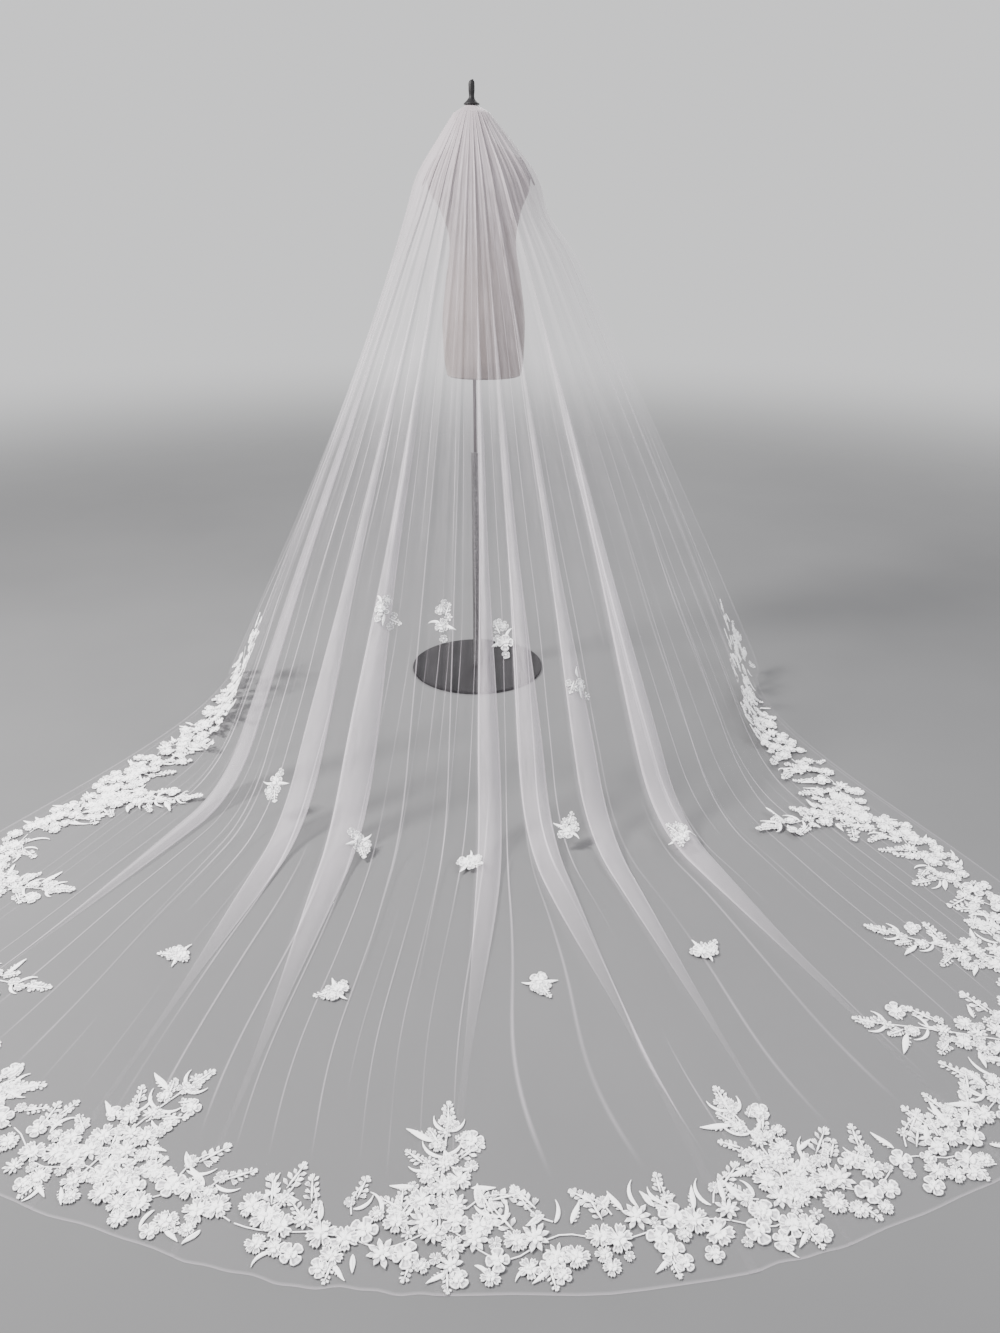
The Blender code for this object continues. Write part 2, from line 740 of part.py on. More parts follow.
def keep_one_body(plan):
    """Keeps the largest patch, and takes away the smaller of two patches that meet only at a corner."""
    doomed = True
    while doomed:
        for face in plan.faces:
            face.tag = True
        found = sorted(patches(plan.faces, True), key=patch_area)
        doomed = {face for patch in found[:-1] for face in patch}
        for vert in plan.verts:
            for face in plan.faces:
                face.tag = False
            for face in vert.link_faces:
                face.tag = True
            fans = sorted(patches(vert.link_faces, True), key=patch_area)
            doomed.update(face for fan in fans[:-1] for face in fan)
        bmesh.ops.delete(plan, geom=list(doomed), context="FACES")
    loose = [vert for vert in plan.verts if not vert.link_faces]
    bmesh.ops.delete(plan, geom=loose, context="VERTS")


def lace_piece(name, outlines, tree, cuts, finish, collection):
    """One piece of lace: the outlines joined in plan, laid on the tulle and thickened upwards."""
    plan = joined_plan(outlines, cuts)
    keep_one_body(plan)
    for vert in plan.verts:
        height, stretch = cloth_under(tree, vert.co)
        vert.co.z = height + LACE_GAP * stretch
    plan.normal_update()
    merge_flats(plan)
    raised = bmesh.ops.extrude_face_region(plan, geom=list(plan.faces), use_keep_orig=True)
    for item in raised["geom"]:
        if isinstance(item, bmesh.types.BMVert):
            item.co.z += LACE_THICK * cloth_under(tree, item.co)[1]
    bmesh.ops.recalc_face_normals(plan, faces=plan.faces)
    mesh = bpy.data.meshes.new(name)
    plan.to_mesh(mesh)
    plan.free()
    add_object(name, mesh, finish, collection)


def arm_limit(side, height):
    """How far aside the torso may reach at a height before it meets the plane of an arm plate."""
    lean = (height - ARM_PLANE_Z) * math.tan(math.radians(ARM_TILT))
    return ARM_PLANE_ASIDE + side * (ARM_PLANE_OUT - lean)


def add_torso(finish, collection):
    """The limbless torso: rings through its sections, flat where the arm plates sit, closed at both ends."""
    torso = bmesh.new()
    rings = []
    for row in TORSO_SECTIONS:
        section = dict(zip(SECTION_COLUMNS, row))
        height = section["height"]
        ring = []
        for number in range(TORSO_SIDES):
            angle = 2 * math.pi * number / TORSO_SIDES
            x = section["aside"] + section["half_width"] * math.cos(angle)
            y = section["back"] + section["half_depth"] * math.sin(angle)
            x = min(max(x, arm_limit(-1, height)), arm_limit(1, height))
            ring.append(torso.verts.new((x, y, height)))
        rings.append(ring)
    for lower, upper in zip(rings, rings[1:]):
        for number in range(TORSO_SIDES):
            after = (number + 1) % TORSO_SIDES
            torso.faces.new((lower[number], lower[after], upper[after], upper[number]))
    torso.faces.new(rings[0][::-1])
    torso.faces.new(rings[-1])
    mesh = bpy.data.meshes.new("form_torso")
    torso.to_mesh(mesh)
    torso.free()
    mesh.shade_smooth()
    add_object("form_torso", mesh, finish, collection)


def add_arm_plate(name, side, finish, collection):
    """An oval plate that lies flat on the torso's side."""
    out = Vector((side * math.cos(math.radians(ARM_TILT)), 0, math.sin(math.radians(ARM_TILT))))
    foot = Vector((ARM_PLANE_ASIDE + side * ARM_PLANE_OUT, 0, ARM_PLANE_Z))
    plate = bmesh.new()
    bmesh.ops.create_cone(
        plate, cap_ends=True, segments=SIDES, radius1=1.0, radius2=1.0, depth=ARM_PLATE_THICK
    )
    bmesh.ops.scale(plate, verts=plate.verts, vec=(*ARM_PLATE_HALF, 1.0))
    mesh = bpy.data.meshes.new(name)
    plate.to_mesh(mesh)
    plate.free()
    made = add_object(name, mesh, finish, collection)
    made.location = foot + out * (GAP + ARM_PLATE_THICK / 2)
    made.rotation_euler = (0, side * (math.pi / 2 - math.radians(ARM_TILT)), 0)


def turned_piece(name, profile, finish, collection, ring=False):
    """A round piece: a profile of (radius, height) from the top down its outer side, or a closed ring."""
    mesh = bpy.data.meshes.new(name)
    points = [(radius, 0, height) for radius, height in profile]
    edges = [(number, number + 1) for number in range(len(points) - 1)]
    if ring:
        edges.append((len(points) - 1, 0))
    mesh.from_pydata(points, edges, [])
    made = add_object(name, mesh, finish, collection)
    screw = made.modifiers.new("turn", "SCREW")
    screw.steps = SIDES
    screw.render_steps = SIDES
    screw.use_merge_vertices = True
    screw.merge_threshold = AXIS_WELD
    return made


def add_form(collection):
    """The dress form: torso, arm plates, neck cap and finial."""
    jersey = material("form_cover", (0.42, 0.37, 0.36), 0.9)
    plastic = material("form_plastic", (0.10, 0.09, 0.09), 0.5)
    black = material("finial_black", (0.02, 0.02, 0.022), 0.35)
    add_torso(jersey, collection)
    add_arm_plate("form_arm_plate_right", 1, plastic, collection)
    add_arm_plate("form_arm_plate_left", -1, plastic, collection)
    rim = CAP_PROFILE[-1][0]
    turned_piece("form_neck_cap", (*CAP_PROFILE, (rim, CAP_BOTTOM), (0.0, CAP_BOTTOM)), jersey, collection)
    tip = FINIAL_PROFILE[-1]
    foot = CAP_PROFILE[0][1] + GAP
    post = ((FINIAL_POST_R, FINIAL_PROFILE[0][1]), (FINIAL_POST_R, foot), (0.0, foot))
    turned_piece("form_finial", ((0.0, tip[1]), *FINIAL_PROFILE[::-1], *post), black, collection)


def add_stand(collection):
    """The stand: a round base plate, an outer tube on it, and the rod that slides in the tube."""
    black = material("base_black", (0.02, 0.02, 0.022), 0.3, 0.0)
    grey = material("tube_grey", (0.20, 0.20, 0.20), 0.6, 0.3)
    steel = material("rod_steel", (0.22, 0.20, 0.20), 0.35, 0.8)
    inner = BASE_R - BASE_BEVEL
    shoulder = BASE_THICK - BASE_BEVEL
    base = ((0.0, BASE_THICK), (inner, BASE_THICK), (BASE_R, shoulder), (BASE_R, 0.0), (0.0, 0.0))
    turned_piece("stand_base", base, black, collection)
    foot = BASE_THICK + GAP
    bore = ROD_R + GAP
    tube = ((bore, TUBE_TOP), (TUBE_R, TUBE_TOP), (TUBE_R, foot), (bore, foot))
    turned_piece("stand_tube", tube, grey, collection, ring=True)
    top = TORSO_SECTIONS[0][0] - GAP
    turned_piece("stand_rod", ((0.0, top), (ROD_R, top), (ROD_R, foot), (0.0, foot)), steel, collection)


def add_veil(collection):
    """The veil: the two stretches of tulle, the lace along its edge, and the loose motifs."""
    tulle = material("tulle", (0.93, 0.92, 0.93), 0.8)
    lace = material("lace", (0.88, 0.87, 0.88), 0.75)
    drape = tulle_piece("tulle_drape", cloth_sheet(DRAPE_ROWS, True), tulle, collection)
    train = tulle_piece("tulle_train", cloth_sheet(TRAIN_ROWS, False), tulle, collection)
    skin = tulle_skin((drape, train))
    tree = BVHTree.FromBMesh(skin)
    cuts = creases(skin)
    skin.free()
    edge = edge_curve()
    start = LACE_START
    for name, end in LACE_RUNS:
        chance = random.Random(SEED + round(end * 100))
        outlines = garland(edge, start, end, chance)
        for row in SPRAYS:
            place = dict(zip(SPRAY_COLUMNS, row))
            if start < place["along"] < end:
                outlines += spray(edge, place, chance)
        lace_piece("lace_" + name, outlines, tree, cuts, lace, collection)
        start = end
    for number, row in enumerate(MOTIFS, 1):
        place = dict(zip(MOTIF_COLUMNS, row))
        centre = Vector((place["x"], -place["ahead"]))
        outlines = on_slope(motif(centre, place["turn_deg"]), centre, tree)
        lace_piece(f"motif_{number:02d}", outlines, tree, cuts, lace, collection)


def main():
    for leftover in list(bpy.data.objects):
        bpy.data.objects.remove(leftover, do_unlink=True)
    veil = collect(NAME)
    add_veil(veil)
    add_form(veil)
    add_stand(veil)


main()
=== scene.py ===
"""The looks of the bridal veil on its dress form.

Metres, +Z up, the train towards -Y. A row of the tulle has a place on its way down: 0 at the neck, 1 where
it comes to the floor, 2 at the hem. A column has an index, counted in folds from the left edge.
"""

import math
import random

import bmesh
import bpy
import numpy as np
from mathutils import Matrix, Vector
from mathutils.bvhtree import BVHTree


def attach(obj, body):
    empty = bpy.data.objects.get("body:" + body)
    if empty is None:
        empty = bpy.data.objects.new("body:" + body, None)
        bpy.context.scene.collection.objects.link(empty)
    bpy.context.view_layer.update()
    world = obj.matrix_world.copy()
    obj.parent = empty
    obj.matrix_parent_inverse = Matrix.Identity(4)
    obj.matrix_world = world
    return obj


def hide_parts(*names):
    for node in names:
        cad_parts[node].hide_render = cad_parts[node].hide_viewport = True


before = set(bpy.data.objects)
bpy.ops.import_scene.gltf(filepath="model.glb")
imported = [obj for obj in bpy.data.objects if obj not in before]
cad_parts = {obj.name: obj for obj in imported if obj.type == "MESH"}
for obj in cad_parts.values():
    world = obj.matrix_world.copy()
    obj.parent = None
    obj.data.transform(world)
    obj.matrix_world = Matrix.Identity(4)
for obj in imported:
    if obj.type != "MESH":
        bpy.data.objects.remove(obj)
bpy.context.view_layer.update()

# ---------------- sizes shared with the CAD model
# A pair in brackets holds the left and the right
NECK_R, NECK_Z = 0.016, 1.634
CAP_RING_R, CAP_RING_Z = 0.049, 1.616
SHOULDER_SIDES, SHOULDER_BACK, SHOULDER_Z = (0.157, 0.183), 0.148, 1.465
TOUCH_SIDES, TOUCH_FRONT, TOUCH_POWER = (0.73, 0.81), 1.02, 3.4
TOUCH_FLARES, FLARE_POWER = (0.08, 0.12), 6
HEM_SIDES, HEM_POWERS, HEM_DEPTH, HEM_CENTRE = (1.33, 1.26), (1.72, 2.12), 0.78, 1.35
EDGE_WAISTS, WAIST_POWER = (0.66, 0.76), 4
SAGS, SAG_POWER = (-0.037, 0.012), 0.8
UNDER_SHOULDERS, UNDER_PLACE, UNDER_SPREAD = (0.0, 0.026), 0.065, 0.045
SHOULDER_CUT, TOUCH_CUT, TOUCH_CUT_EDGE = 0.05, 0.16, 0.07
SLOPE_LENGTH, FLOOR_LENGTH = 1.7, 1.1
SIDE = math.radians(90.0)

# Folds: where each comes down, where it would meet the hem, half width, height, how far it runs
FOLDS = np.array((
    (-77, -84.0, 0.22, 0.01, -0.06), (-64, -79.5, 0.22, 0.012, -0.04), (-53, -76.0, 0.22, 0.01, 0.3),
    (-46, -73.0, 0.22, 0.012, 0.55), (-38, -69.0, 0.3, 0.026, 0.72), (-31, -58.0, 0.22, 0.016, 0.6),
    (-24, -45.0, 0.26, 0.02, 0.66), (-16, -29.0, 0.34, 0.032, 0.74), (-9, -18.5, 0.22, 0.012, 0.6),
    (-3, -9.5, 0.22, 0.012, 0.6), (3, -1.0, 0.34, 0.03, 0.66), (9, 31.0, 0.3, 0.028, 0.62),
    (17, 40.0, 0.32, 0.028, 0.74), (27, 57.0, 0.34, 0.03, 0.7), (34, 64.0, 0.22, 0.014, 0.56),
    (42, 70.0, 0.22, 0.012, 0.56), (51, 75.0, 0.22, 0.012, 0.3), (64, 80.0, 0.22, 0.012, -0.04),
    (77, 84.5, 0.22, 0.01, -0.06),
))
TOUCH_DEG = np.array([-90.0, *FOLDS[:, 0], 90.0])
HEM_DEG = np.array([-90.0, *FOLDS[:, 1], 90.0])
LAST = len(FOLDS) + 1.0
# Legs of the way from neck to hem: name, place where it starts, place where it ends
LEGS = (
    ("cap", 0.0, 0.03), ("shoulder", 0.03, 0.09), ("turn_shoulder", 0.09, 0.15), ("hang", 0.15, 0.9),
    ("turn_floor", 0.9, 1.145), ("lie", 1.145, 2.0),
)


def smooth(x):
    x = np.clip(x, 0.0, 1.0)
    return x * x * (3 - 2 * x)


def by_side(angle, left, right):
    return left + (right - left) * (1.0 + np.sin(angle)) / 2.0


def edge_share(angle, power):
    return (np.abs(angle) / SIDE) ** power


def ring(angle, side, back, height=0.0):
    return np.stack([side * np.sin(angle), -back * np.cos(angle), np.full_like(angle, height)], -1)


def rounded(a, side, ahead, power):
    """The radius of a rounded outline with these reaches to the side and ahead."""
    x, y = np.abs(np.sin(a)) / side, np.clip(np.cos(a), 0, None) / ahead
    return (x**power + y**power) ** (-1.0 / power)


def cap_ring(a):
    return ring(a, CAP_RING_R, CAP_RING_R, CAP_RING_Z)


def shoulder_ring(a):
    return ring(a, by_side(a, *SHOULDER_SIDES), SHOULDER_BACK, SHOULDER_Z)


def touch_ring(a):
    flare = np.where(a < 0, *TOUCH_FLARES) * edge_share(a, FLARE_POWER)
    radius = rounded(a, np.where(a < 0, *TOUCH_SIDES), TOUCH_FRONT, TOUCH_POWER) + flare
    return ring(a, radius, radius)


def hem_ring(a):
    radius = rounded(a, np.where(a < 0, *HEM_SIDES), HEM_DEPTH, np.where(a < 0, *HEM_POWERS))
    return ring(a, radius, radius) - np.array((0.0, HEM_CENTRE, 0.0))


def hang(a, share):
    start, end = shoulder_ring(a), touch_ring(a)
    sag = by_side(a, *SAGS) * np.sin(np.pi * share**SAG_POWER)
    hollow = by_side(a, *UNDER_SHOULDERS) * np.exp(-(((share - UNDER_PLACE) / UNDER_SPREAD) ** 2))
    outward = np.sin(a) ** 2 * (sag - hollow)
    return start + (end - start) * share[..., None] + ring(a, 1.0, 1.0) * outward[..., None]


def lie(a, hem_a, share):
    start, end = touch_ring(a), hem_ring(hem_a)
    point = start + (end - start) * share
    waist = by_side(a, *EDGE_WAISTS) * edge_share(a, WAIST_POWER)
    point[..., 0] -= np.sign(a) * waist * (share * (1.0 - share) ** 2)[..., 0]
    return point


def bend(start, corner, end, t):
    return start * (1 - t) ** 2 + 2 * corner * t * (1 - t) + end * t**2


def base_at(a, hem_a, place):
    """The smooth surface under the folds, at one place on the way down."""
    leg, low, high = next(row for row in LEGS if place <= row[2])
    t = (place - low) / (high - low)
    cap, shoulder = cap_ring(a), shoulder_ring(a)
    if leg == "cap":
        neck = ring(a, NECK_R, NECK_R, NECK_Z)
        return neck + (cap - neck) * t
    above = 1.0 - SHOULDER_CUT / np.linalg.norm(shoulder - cap, axis=-1)[..., None]
    start = cap + (shoulder - cap) * above
    if leg == "shoulder":
        return cap + (start - cap) * t
    below = np.full_like(a, SHOULDER_CUT / SLOPE_LENGTH)
    if leg == "turn_shoulder":
        return bend(start, shoulder, hang(a, below), t)
    cut = TOUCH_CUT + (TOUCH_CUT_EDGE - TOUCH_CUT) * edge_share(a, WAIST_POWER)
    slope_end = 1.0 - cut / SLOPE_LENGTH
    if leg == "hang":
        return hang(a, below + (slope_end - below) * t)
    floor_start = (cut / FLOOR_LENGTH)[..., None]
    if leg == "turn_floor":
        return bend(hang(a, slope_end), touch_ring(a), lie(a, hem_a, floor_start), t)
    return lie(a, hem_a, floor_start + (1.0 - floor_start) * t)


def down_angle(index):
    """Where a column comes down, in radians from straight ahead."""
    return np.radians(np.interp(index, np.arange(len(TOUCH_DEG)), TOUCH_DEG))


def base(index, place):
    return base_at(down_angle(index), np.radians(np.interp(index, np.arange(len(HEM_DEG)), HEM_DEG)), place)


# ---------------- small helpers
def lengths_along(points):
    return np.concatenate([[0.0], np.cumsum(np.linalg.norm(np.diff(points, axis=0), axis=1))])


def grid_faces(rows, columns, start=0, closed=False):
    """Quads between rows of points. A closed grid goes all round, and its faces look outward."""
    r = np.arange(rows - 1)[:, None]
    c = np.arange(columns if closed else columns - 1)[None, :]
    a, b = r * columns + c, r * columns + (c + 1) % columns
    corners = (a, b, b + columns, a + columns) if closed else (a, a + columns, b + columns, b)
    return (np.stack(corners, -1).reshape(-1, 4) + start).tolist()


def round_angles(sides):
    return np.arange(sides) / sides * 2 * np.pi


def round_faces(points, rows, sides, first, last):
    """The faces of a round piece with a fan at each end, whose centre joins the points."""
    faces = grid_faces(rows, sides, closed=True)
    centre, row = len(points), (rows - 1) * sides
    points += [first, last]
    for n in range(sides):
        after = (n + 1) % sides
        faces += [(centre, after, n), (centre + 1, row + n, row + after)]
    return faces


def in_scene(thing):
    bpy.context.scene.collection.objects.link(thing)
    return thing


def mesh_piece(name, points, faces, material):
    mesh = bpy.data.meshes.new(name)
    mesh.from_pydata([tuple(p) for p in points], [], faces)
    mesh.validate()
    mesh.materials.append(material)
    mesh.shade_smooth()
    return in_scene(bpy.data.objects.new(name, mesh))


def point_values(piece, name, values):
    layer = piece.data.attributes.new(name, "FLOAT", "POINT")
    layer.data.foreach_set("value", np.array(values, dtype=np.float32).ravel())


def tidy_normals(piece, sharp_from):
    mesh = piece.data
    made = bmesh.new()
    made.from_mesh(mesh)
    bmesh.ops.recalc_face_normals(made, faces=made.faces)
    made.to_mesh(mesh)
    made.free()
    mesh.shade_smooth()
    mesh.set_sharp_from_angle(angle=math.radians(sharp_from))


def dress(piece, slot, *nodes):
    """Hides the solids that a piece stands in for and puts it on the root body; the slot is not used."""
    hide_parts(*nodes)
    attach(piece, "root")
    return piece


class Nodes:
    """A short way to write the nodes of a material or of the world."""

    def __init__(self, name, kind="materials", shader="Principled BSDF"):
        self.owner = getattr(bpy.data, kind).new(name)
        self.owner.use_nodes = True
        self.tree = self.owner.node_tree
        self.shader = self.tree.nodes[shader]
        self.coords = self.node("TexCoord").outputs
        self.at = self.coords["Object"]

    def node(self, kind, inputs=(), **settings):
        made = self.tree.nodes.new("ShaderNode" + kind)
        for key, value in settings.items():
            setattr(made, key, value)
        for key, value in dict(inputs).items():
            self.put(made.inputs[key], value)
        return made

    def put(self, socket, value):
        if isinstance(value, bpy.types.NodeSocket):
            self.tree.links.new(value, socket)
        else:
            socket.default_value = value

    def math(self, operation, a, b):
        return self.node("Math", {0: a, 1: b}, operation=operation).outputs[0]

    def times(self, a, b):
        return self.math("MULTIPLY", a, b)

    def plus(self, a, b):
        return self.math("ADD", a, b)

    def blend(self, a, share_a, b, share_b):
        return self.plus(self.times(a, share_a), self.times(b, share_b))

    def spread(self, value, low, high, value_low=0.0, value_high=1.0, **settings):
        """Maps a value between value_low and value_high to between low and high."""
        inputs = {0: value, 1: value_low, 2: value_high, 3: low, 4: high}
        return self.node("MapRange", inputs, **settings).outputs[0]

    def ramp(self, fac, stops):
        made = self.node("ValToRGB", {"Fac": fac})
        elements = made.color_ramp.elements
        while len(elements) < len(stops):
            elements.new(0.5)
        for element, (place, colour) in zip(elements, stops):
            element.position = place
            element.color = (*colour, 1.0)
        return made.outputs["Color"]

    def noise(self, vector, scale, detail=3.0, roughness=0.5):
        inputs = {"Vector": vector, "Scale": scale, "Detail": detail, "Roughness": roughness}
        return self.node("TexNoise", inputs).outputs["Fac"]

    def cells(self, inputs, **settings):
        return self.node("TexVoronoi", inputs, **settings).outputs["Distance"]

    def point(self, x, y, z=0.0):
        return self.node("CombineXYZ", {0: x, 1: y, 2: z}).outputs[0]

    def scaled(self, along_z):
        return self.node("Mapping", {"Vector": self.at, "Scale": (1.0, 1.0, along_z)}).outputs[0]

    def uv(self, name):
        return self.node("UVMap", uv_map=name).outputs["UV"]

    def attribute(self, name):
        return self.node("Attribute", attribute_name=name).outputs["Fac"]

    def bump(self, height, strength, distance):
        made = self.node("Bump", {"Height": height, "Strength": strength, "Distance": distance})
        self.put(self.shader.inputs["Normal"], made.outputs["Normal"])

    def set(self, **values):
        for key, value in values.items():
            self.put(self.shader.inputs[key.replace("_", " ")], value)
        return self.owner


# ---------------- materials
def tulle_material():
    m = Nodes("sheer_tulle")
    parts = m.node("SeparateXYZ", {0: m.uv("cloth")})
    u, v = parts.outputs["X"], parts.outputs["Y"]
    gathered = m.attribute("gathered")
    # Fine gathers: streaks and thin creases that run from the neck to the floor
    streak_at = m.point(u, m.times(v, 0.16), 3.0)
    streaks = m.times(m.times(m.noise(streak_at, 95.0, 2.0, 0.6), m.noise(streak_at, 20.0, 2.0)), 4.0)
    cover = m.times(m.attribute("cover"), m.math("POWER", streaks, m.times(gathered, 0.7)))
    drift = m.times(m.noise(m.point(v, u), 0.9, 1.0), 0.16)
    crease_at = m.times(m.plus(u, drift), 15.0)
    apart = m.cells({"W": crease_at, "Scale": 1.0}, voronoi_dimensions="1D", feature="DISTANCE_TO_EDGE")
    come_and_go = m.noise(m.point(m.times(u, 9.0), v, 7.0), 1.4, 1.0)
    thin_crease = m.times(m.spread(apart, 1.0, 0.0, 0.0, 0.042), m.spread(come_and_go, 0.0, 0.40, 0.38, 0.60))
    thin_crease = m.times(thin_crease, m.math("MINIMUM", m.times(gathered, 2.6), 1.0))
    # The net: a fine six-sided mesh of threads
    net = {"Vector": m.uv("net"), "Scale": 820.0, "Randomness": 0.25}
    from_thread = m.cells(net, voronoi_dimensions="2D", feature="DISTANCE_TO_EDGE")
    threads = m.spread(from_thread, 1.16, 0.94, 0.02, 0.16)
    creases = m.plus(thin_crease, m.attribute("crease"))
    alpha = m.math("MINIMUM", m.plus(m.times(cover, threads), creases), 0.92)
    # Painted shade: the tint turns greyer towards the neck, where the gathered layers stand in shade; a broad
    # noise varies the tone
    shade_and_tone = m.blend(m.attribute("crowded"), 0.8, m.noise(m.at, 3.0), 0.22)
    tints = ((0.05, (0.63, 0.585, 0.635)), (0.25, (0.57, 0.525, 0.565)), (0.95, (0.27, 0.235, 0.252)))
    return m.set(
        Base_Color=m.ramp(shade_and_tone, tints), Roughness=0.75, Alpha=alpha,
        Sheen_Weight=0.35, Sheen_Roughness=0.4, Specular_IOR_Level=0.25,
    )


def lace_material():
    m = Nodes("corded_lace")
    mottle = m.noise(m.at, 160.0)
    # Painted shade: the low ground and thin rims of the shapes are painted darker than their raised cords and
    # ribs, for the shade in the relief and for the see-through net between them; a mottle varies the tone
    shade = m.ramp(
        m.blend(m.attribute("raised"), 0.80, mottle, 0.25),
        ((0.16, (0.16, 0.155, 0.17)), (0.40, (0.42, 0.41, 0.43)), (0.70, (0.95, 0.945, 0.955))),
    )
    m.bump(m.blend(m.cells({"Vector": m.at, "Scale": 900.0}), 0.6, mottle, 1.0), 0.6, 0.0007)
    return m.set(
        Base_Color=shade, Roughness=0.62, Sheen_Weight=0.3, Sheen_Roughness=0.5, Specular_IOR_Level=0.35,
    )


def jersey_material():
    m = Nodes("taupe_jersey")
    knit = m.cells({"Vector": m.scaled(0.55), "Scale": 1100.0})
    colour = m.ramp(
        m.blend(m.noise(m.at, 9.0, 4.0), 0.7, knit, 0.4),
        ((0.25, (0.125, 0.100, 0.094)), (0.55, (0.170, 0.138, 0.130)), (0.85, (0.215, 0.178, 0.168))),
    )
    m.bump(knit, 0.5, 0.0006)
    return m.set(
        Base_Color=colour, Roughness=0.9, Sheen_Weight=0.35, Sheen_Roughness=0.5, Specular_IOR_Level=0.2,
    )


def hammered_grey_material():
    m = Nodes("hammered_grey_paint")
    dimples = m.cells({"Vector": m.at, "Scale": 330.0}, feature="SMOOTH_F1")
    colour = m.ramp(
        m.blend(dimples, 0.6, m.noise(m.at, 420.0, 2.0, 0.7), 0.6),
        ((0.35, (0.012, 0.012, 0.013)), (0.55, (0.038, 0.038, 0.040)), (0.75, (0.13, 0.13, 0.136))),
    )
    m.bump(dimples, 0.5, 0.0006)
    return m.set(Base_Color=colour, Metallic=0.3, Roughness=0.55)


# Hard surfaces: noise of the grain and of the blotches, their ramp, which makes it rougher, how rough, bump,
# other sockets
HARD = {
    "dark_moulded_plastic": (
        (700.0, 2.0), (20.0,), ((0.3, (0.030, 0.026, 0.026)), (0.7, (0.048, 0.042, 0.042))),
        "grain", (0.35, 0.6), (0.25, 0.0003), {},
    ),
    "black_moulding": (
        (900.0, 2.0), (60.0,), ((0.3, (0.006, 0.006, 0.007)), (0.7, (0.012, 0.011, 0.012))),
        "grain", (0.45, 0.65), (0.2, 0.0002), {"Specular_IOR_Level": 0.2},
    ),
    "satin_black_paint": (
        (260.0, 2.0), (14.0, 5.0, 0.65), ((0.35, (0.004, 0.004, 0.0045)), (0.75, (0.011, 0.011, 0.012))),
        "blotches", (0.55, 0.75), (0.15, 0.0002), {"Specular_IOR_Level": 0.07},
    ),
    "dark_steel_rod": (
        (900.0, 2.0), (900.0, 2.0), ((0.3, (0.022, 0.020, 0.020)), (0.7, (0.050, 0.046, 0.045))),
        "grain", (0.28, 0.5), (0.2, 0.0002), {"Metallic": 0.9},
    ),
}


def hard_material(name, drawn=1.0):
    """A material of the table; on a drawn surface the marks are long in height."""
    grain_noise, blotch_noise, stops, rougher_by, rough, bump, sockets = HARD[name]
    m = Nodes(name)
    at = m.scaled(drawn)
    grain, blotches = m.noise(at, *grain_noise), m.noise(at, *blotch_noise)
    m.bump(grain, *bump)
    rough_at = grain if rougher_by == "grain" else blotches
    return m.set(Base_Color=m.ramp(blotches, stops), Roughness=m.spread(rough_at, *rough), **sockets)


FLOOR_CENTRE, FLOOR_FADE_FROM, FLOOR_FADE_TO = (0.0, -0.9, 0.0), 1.6, 9.5


def floor_material():
    """A plain pale floor that runs out into the studio's backdrop."""
    m = Nodes("pale_floor")
    far = m.node("VectorMath", {0: m.at, 1: FLOOR_CENTRE}, operation="DISTANCE").outputs["Value"]
    stay = m.spread(far, 1.0, 0.0, FLOOR_FADE_FROM, FLOOR_FADE_TO, interpolation_type="SMOOTHERSTEP")
    greys = ((0.25, (0.100, 0.100, 0.103)), (0.75, (0.114, 0.114, 0.117)))
    colour = m.ramp(m.noise(m.at, 1.3, 5.0, 0.55), greys)
    m.bump(m.noise(m.at, 240.0), 0.1, 0.0004)
    return m.set(Base_Color=colour, Roughness=0.8, Specular_IOR_Level=0.2, Alpha=stay)


# ---------------- the tulle
# Stretches with even rows: place where it starts, place where it ends, how many rows
ROW_RUNS = ((0.0, 0.03, 3), (0.03, 0.15, 11), (0.15, 0.9, 45), (0.9, 1.145, 15), (1.145, 1.995, 43))
ROWS_AT = np.concatenate([*(np.linspace(*run, endpoint=False) for run in ROW_RUNS), (1.995, 2.0)])
# Changes on the way down: place where each begins, the stretch that it takes
FOLDS_PRESSED = (0.16, 0.34)
FOLDS_WIDEN = (0.55, 0.35)
FOLDS_SHOW = (0.25, 0.55)
FOLDS_FADE_FROM = 0.85
SIDES_LIVEN = (0.35, 0.45)
WAVES_END = (1.0, 0.75)
GATHERS_EASE = (0.45, 0.9)
GATHERS_END = (1.70, 0.14)
# Where the painted shade at the neck fades out
PAINTED_NECK_SHADE_ENDS = (0.03, 0.50)
HEM_BEGINS = (1.93, 0.07)
# A fold over this half width is pressed flat in three layers, the others are narrow creases
BROAD = 0.25
NARROW_ABOVE = 0.5
# Folds that are slimmer in the photo than the solids' ridges: number from the left, share of the width
SLIMMER = {5: 0.85, 8: 0.9, 11: 0.82, 12: 0.9, 13: 0.56, 14: 0.68}
FLAT_FOLD_STEPS = 26
NARROW_FOLD_AT = (-1.0, -0.72, -0.48, -0.27, -0.11, 0.0, 0.11, 0.27, 0.48, 0.72)
BETWEEN_STEPS = 9
FLAT_WIDTH = 3.5
CLOTH_LIFT = 0.0006
# How much one layer hides, how fast layers add up, what a turned edge and a pressed fold add
SINGLE_COVER, CROWDING = 0.019, 2.1
TURNED_COVER, BAND_COVER = 0.48, 0.13
RAW_HEM_COVER, RAW_SIDE_COVER = 0.22, 0.16
# Folds need room: pitch at which they begin to stand up, how much more to stand in full
ROOM_FROM, ROOM_MORE, WAVE_ROOM = 0.004, 0.03 / 0.35, 0.10
# Slight waves between the folds: how many, how high, how far they turn on the way down
WAVES = ((31, 0.0035, 0.4), (57, 0.0020, -0.3), (13, 0.0050, 0.2))
WAVES_MOST = sum(high for _, high, _ in WAVES)
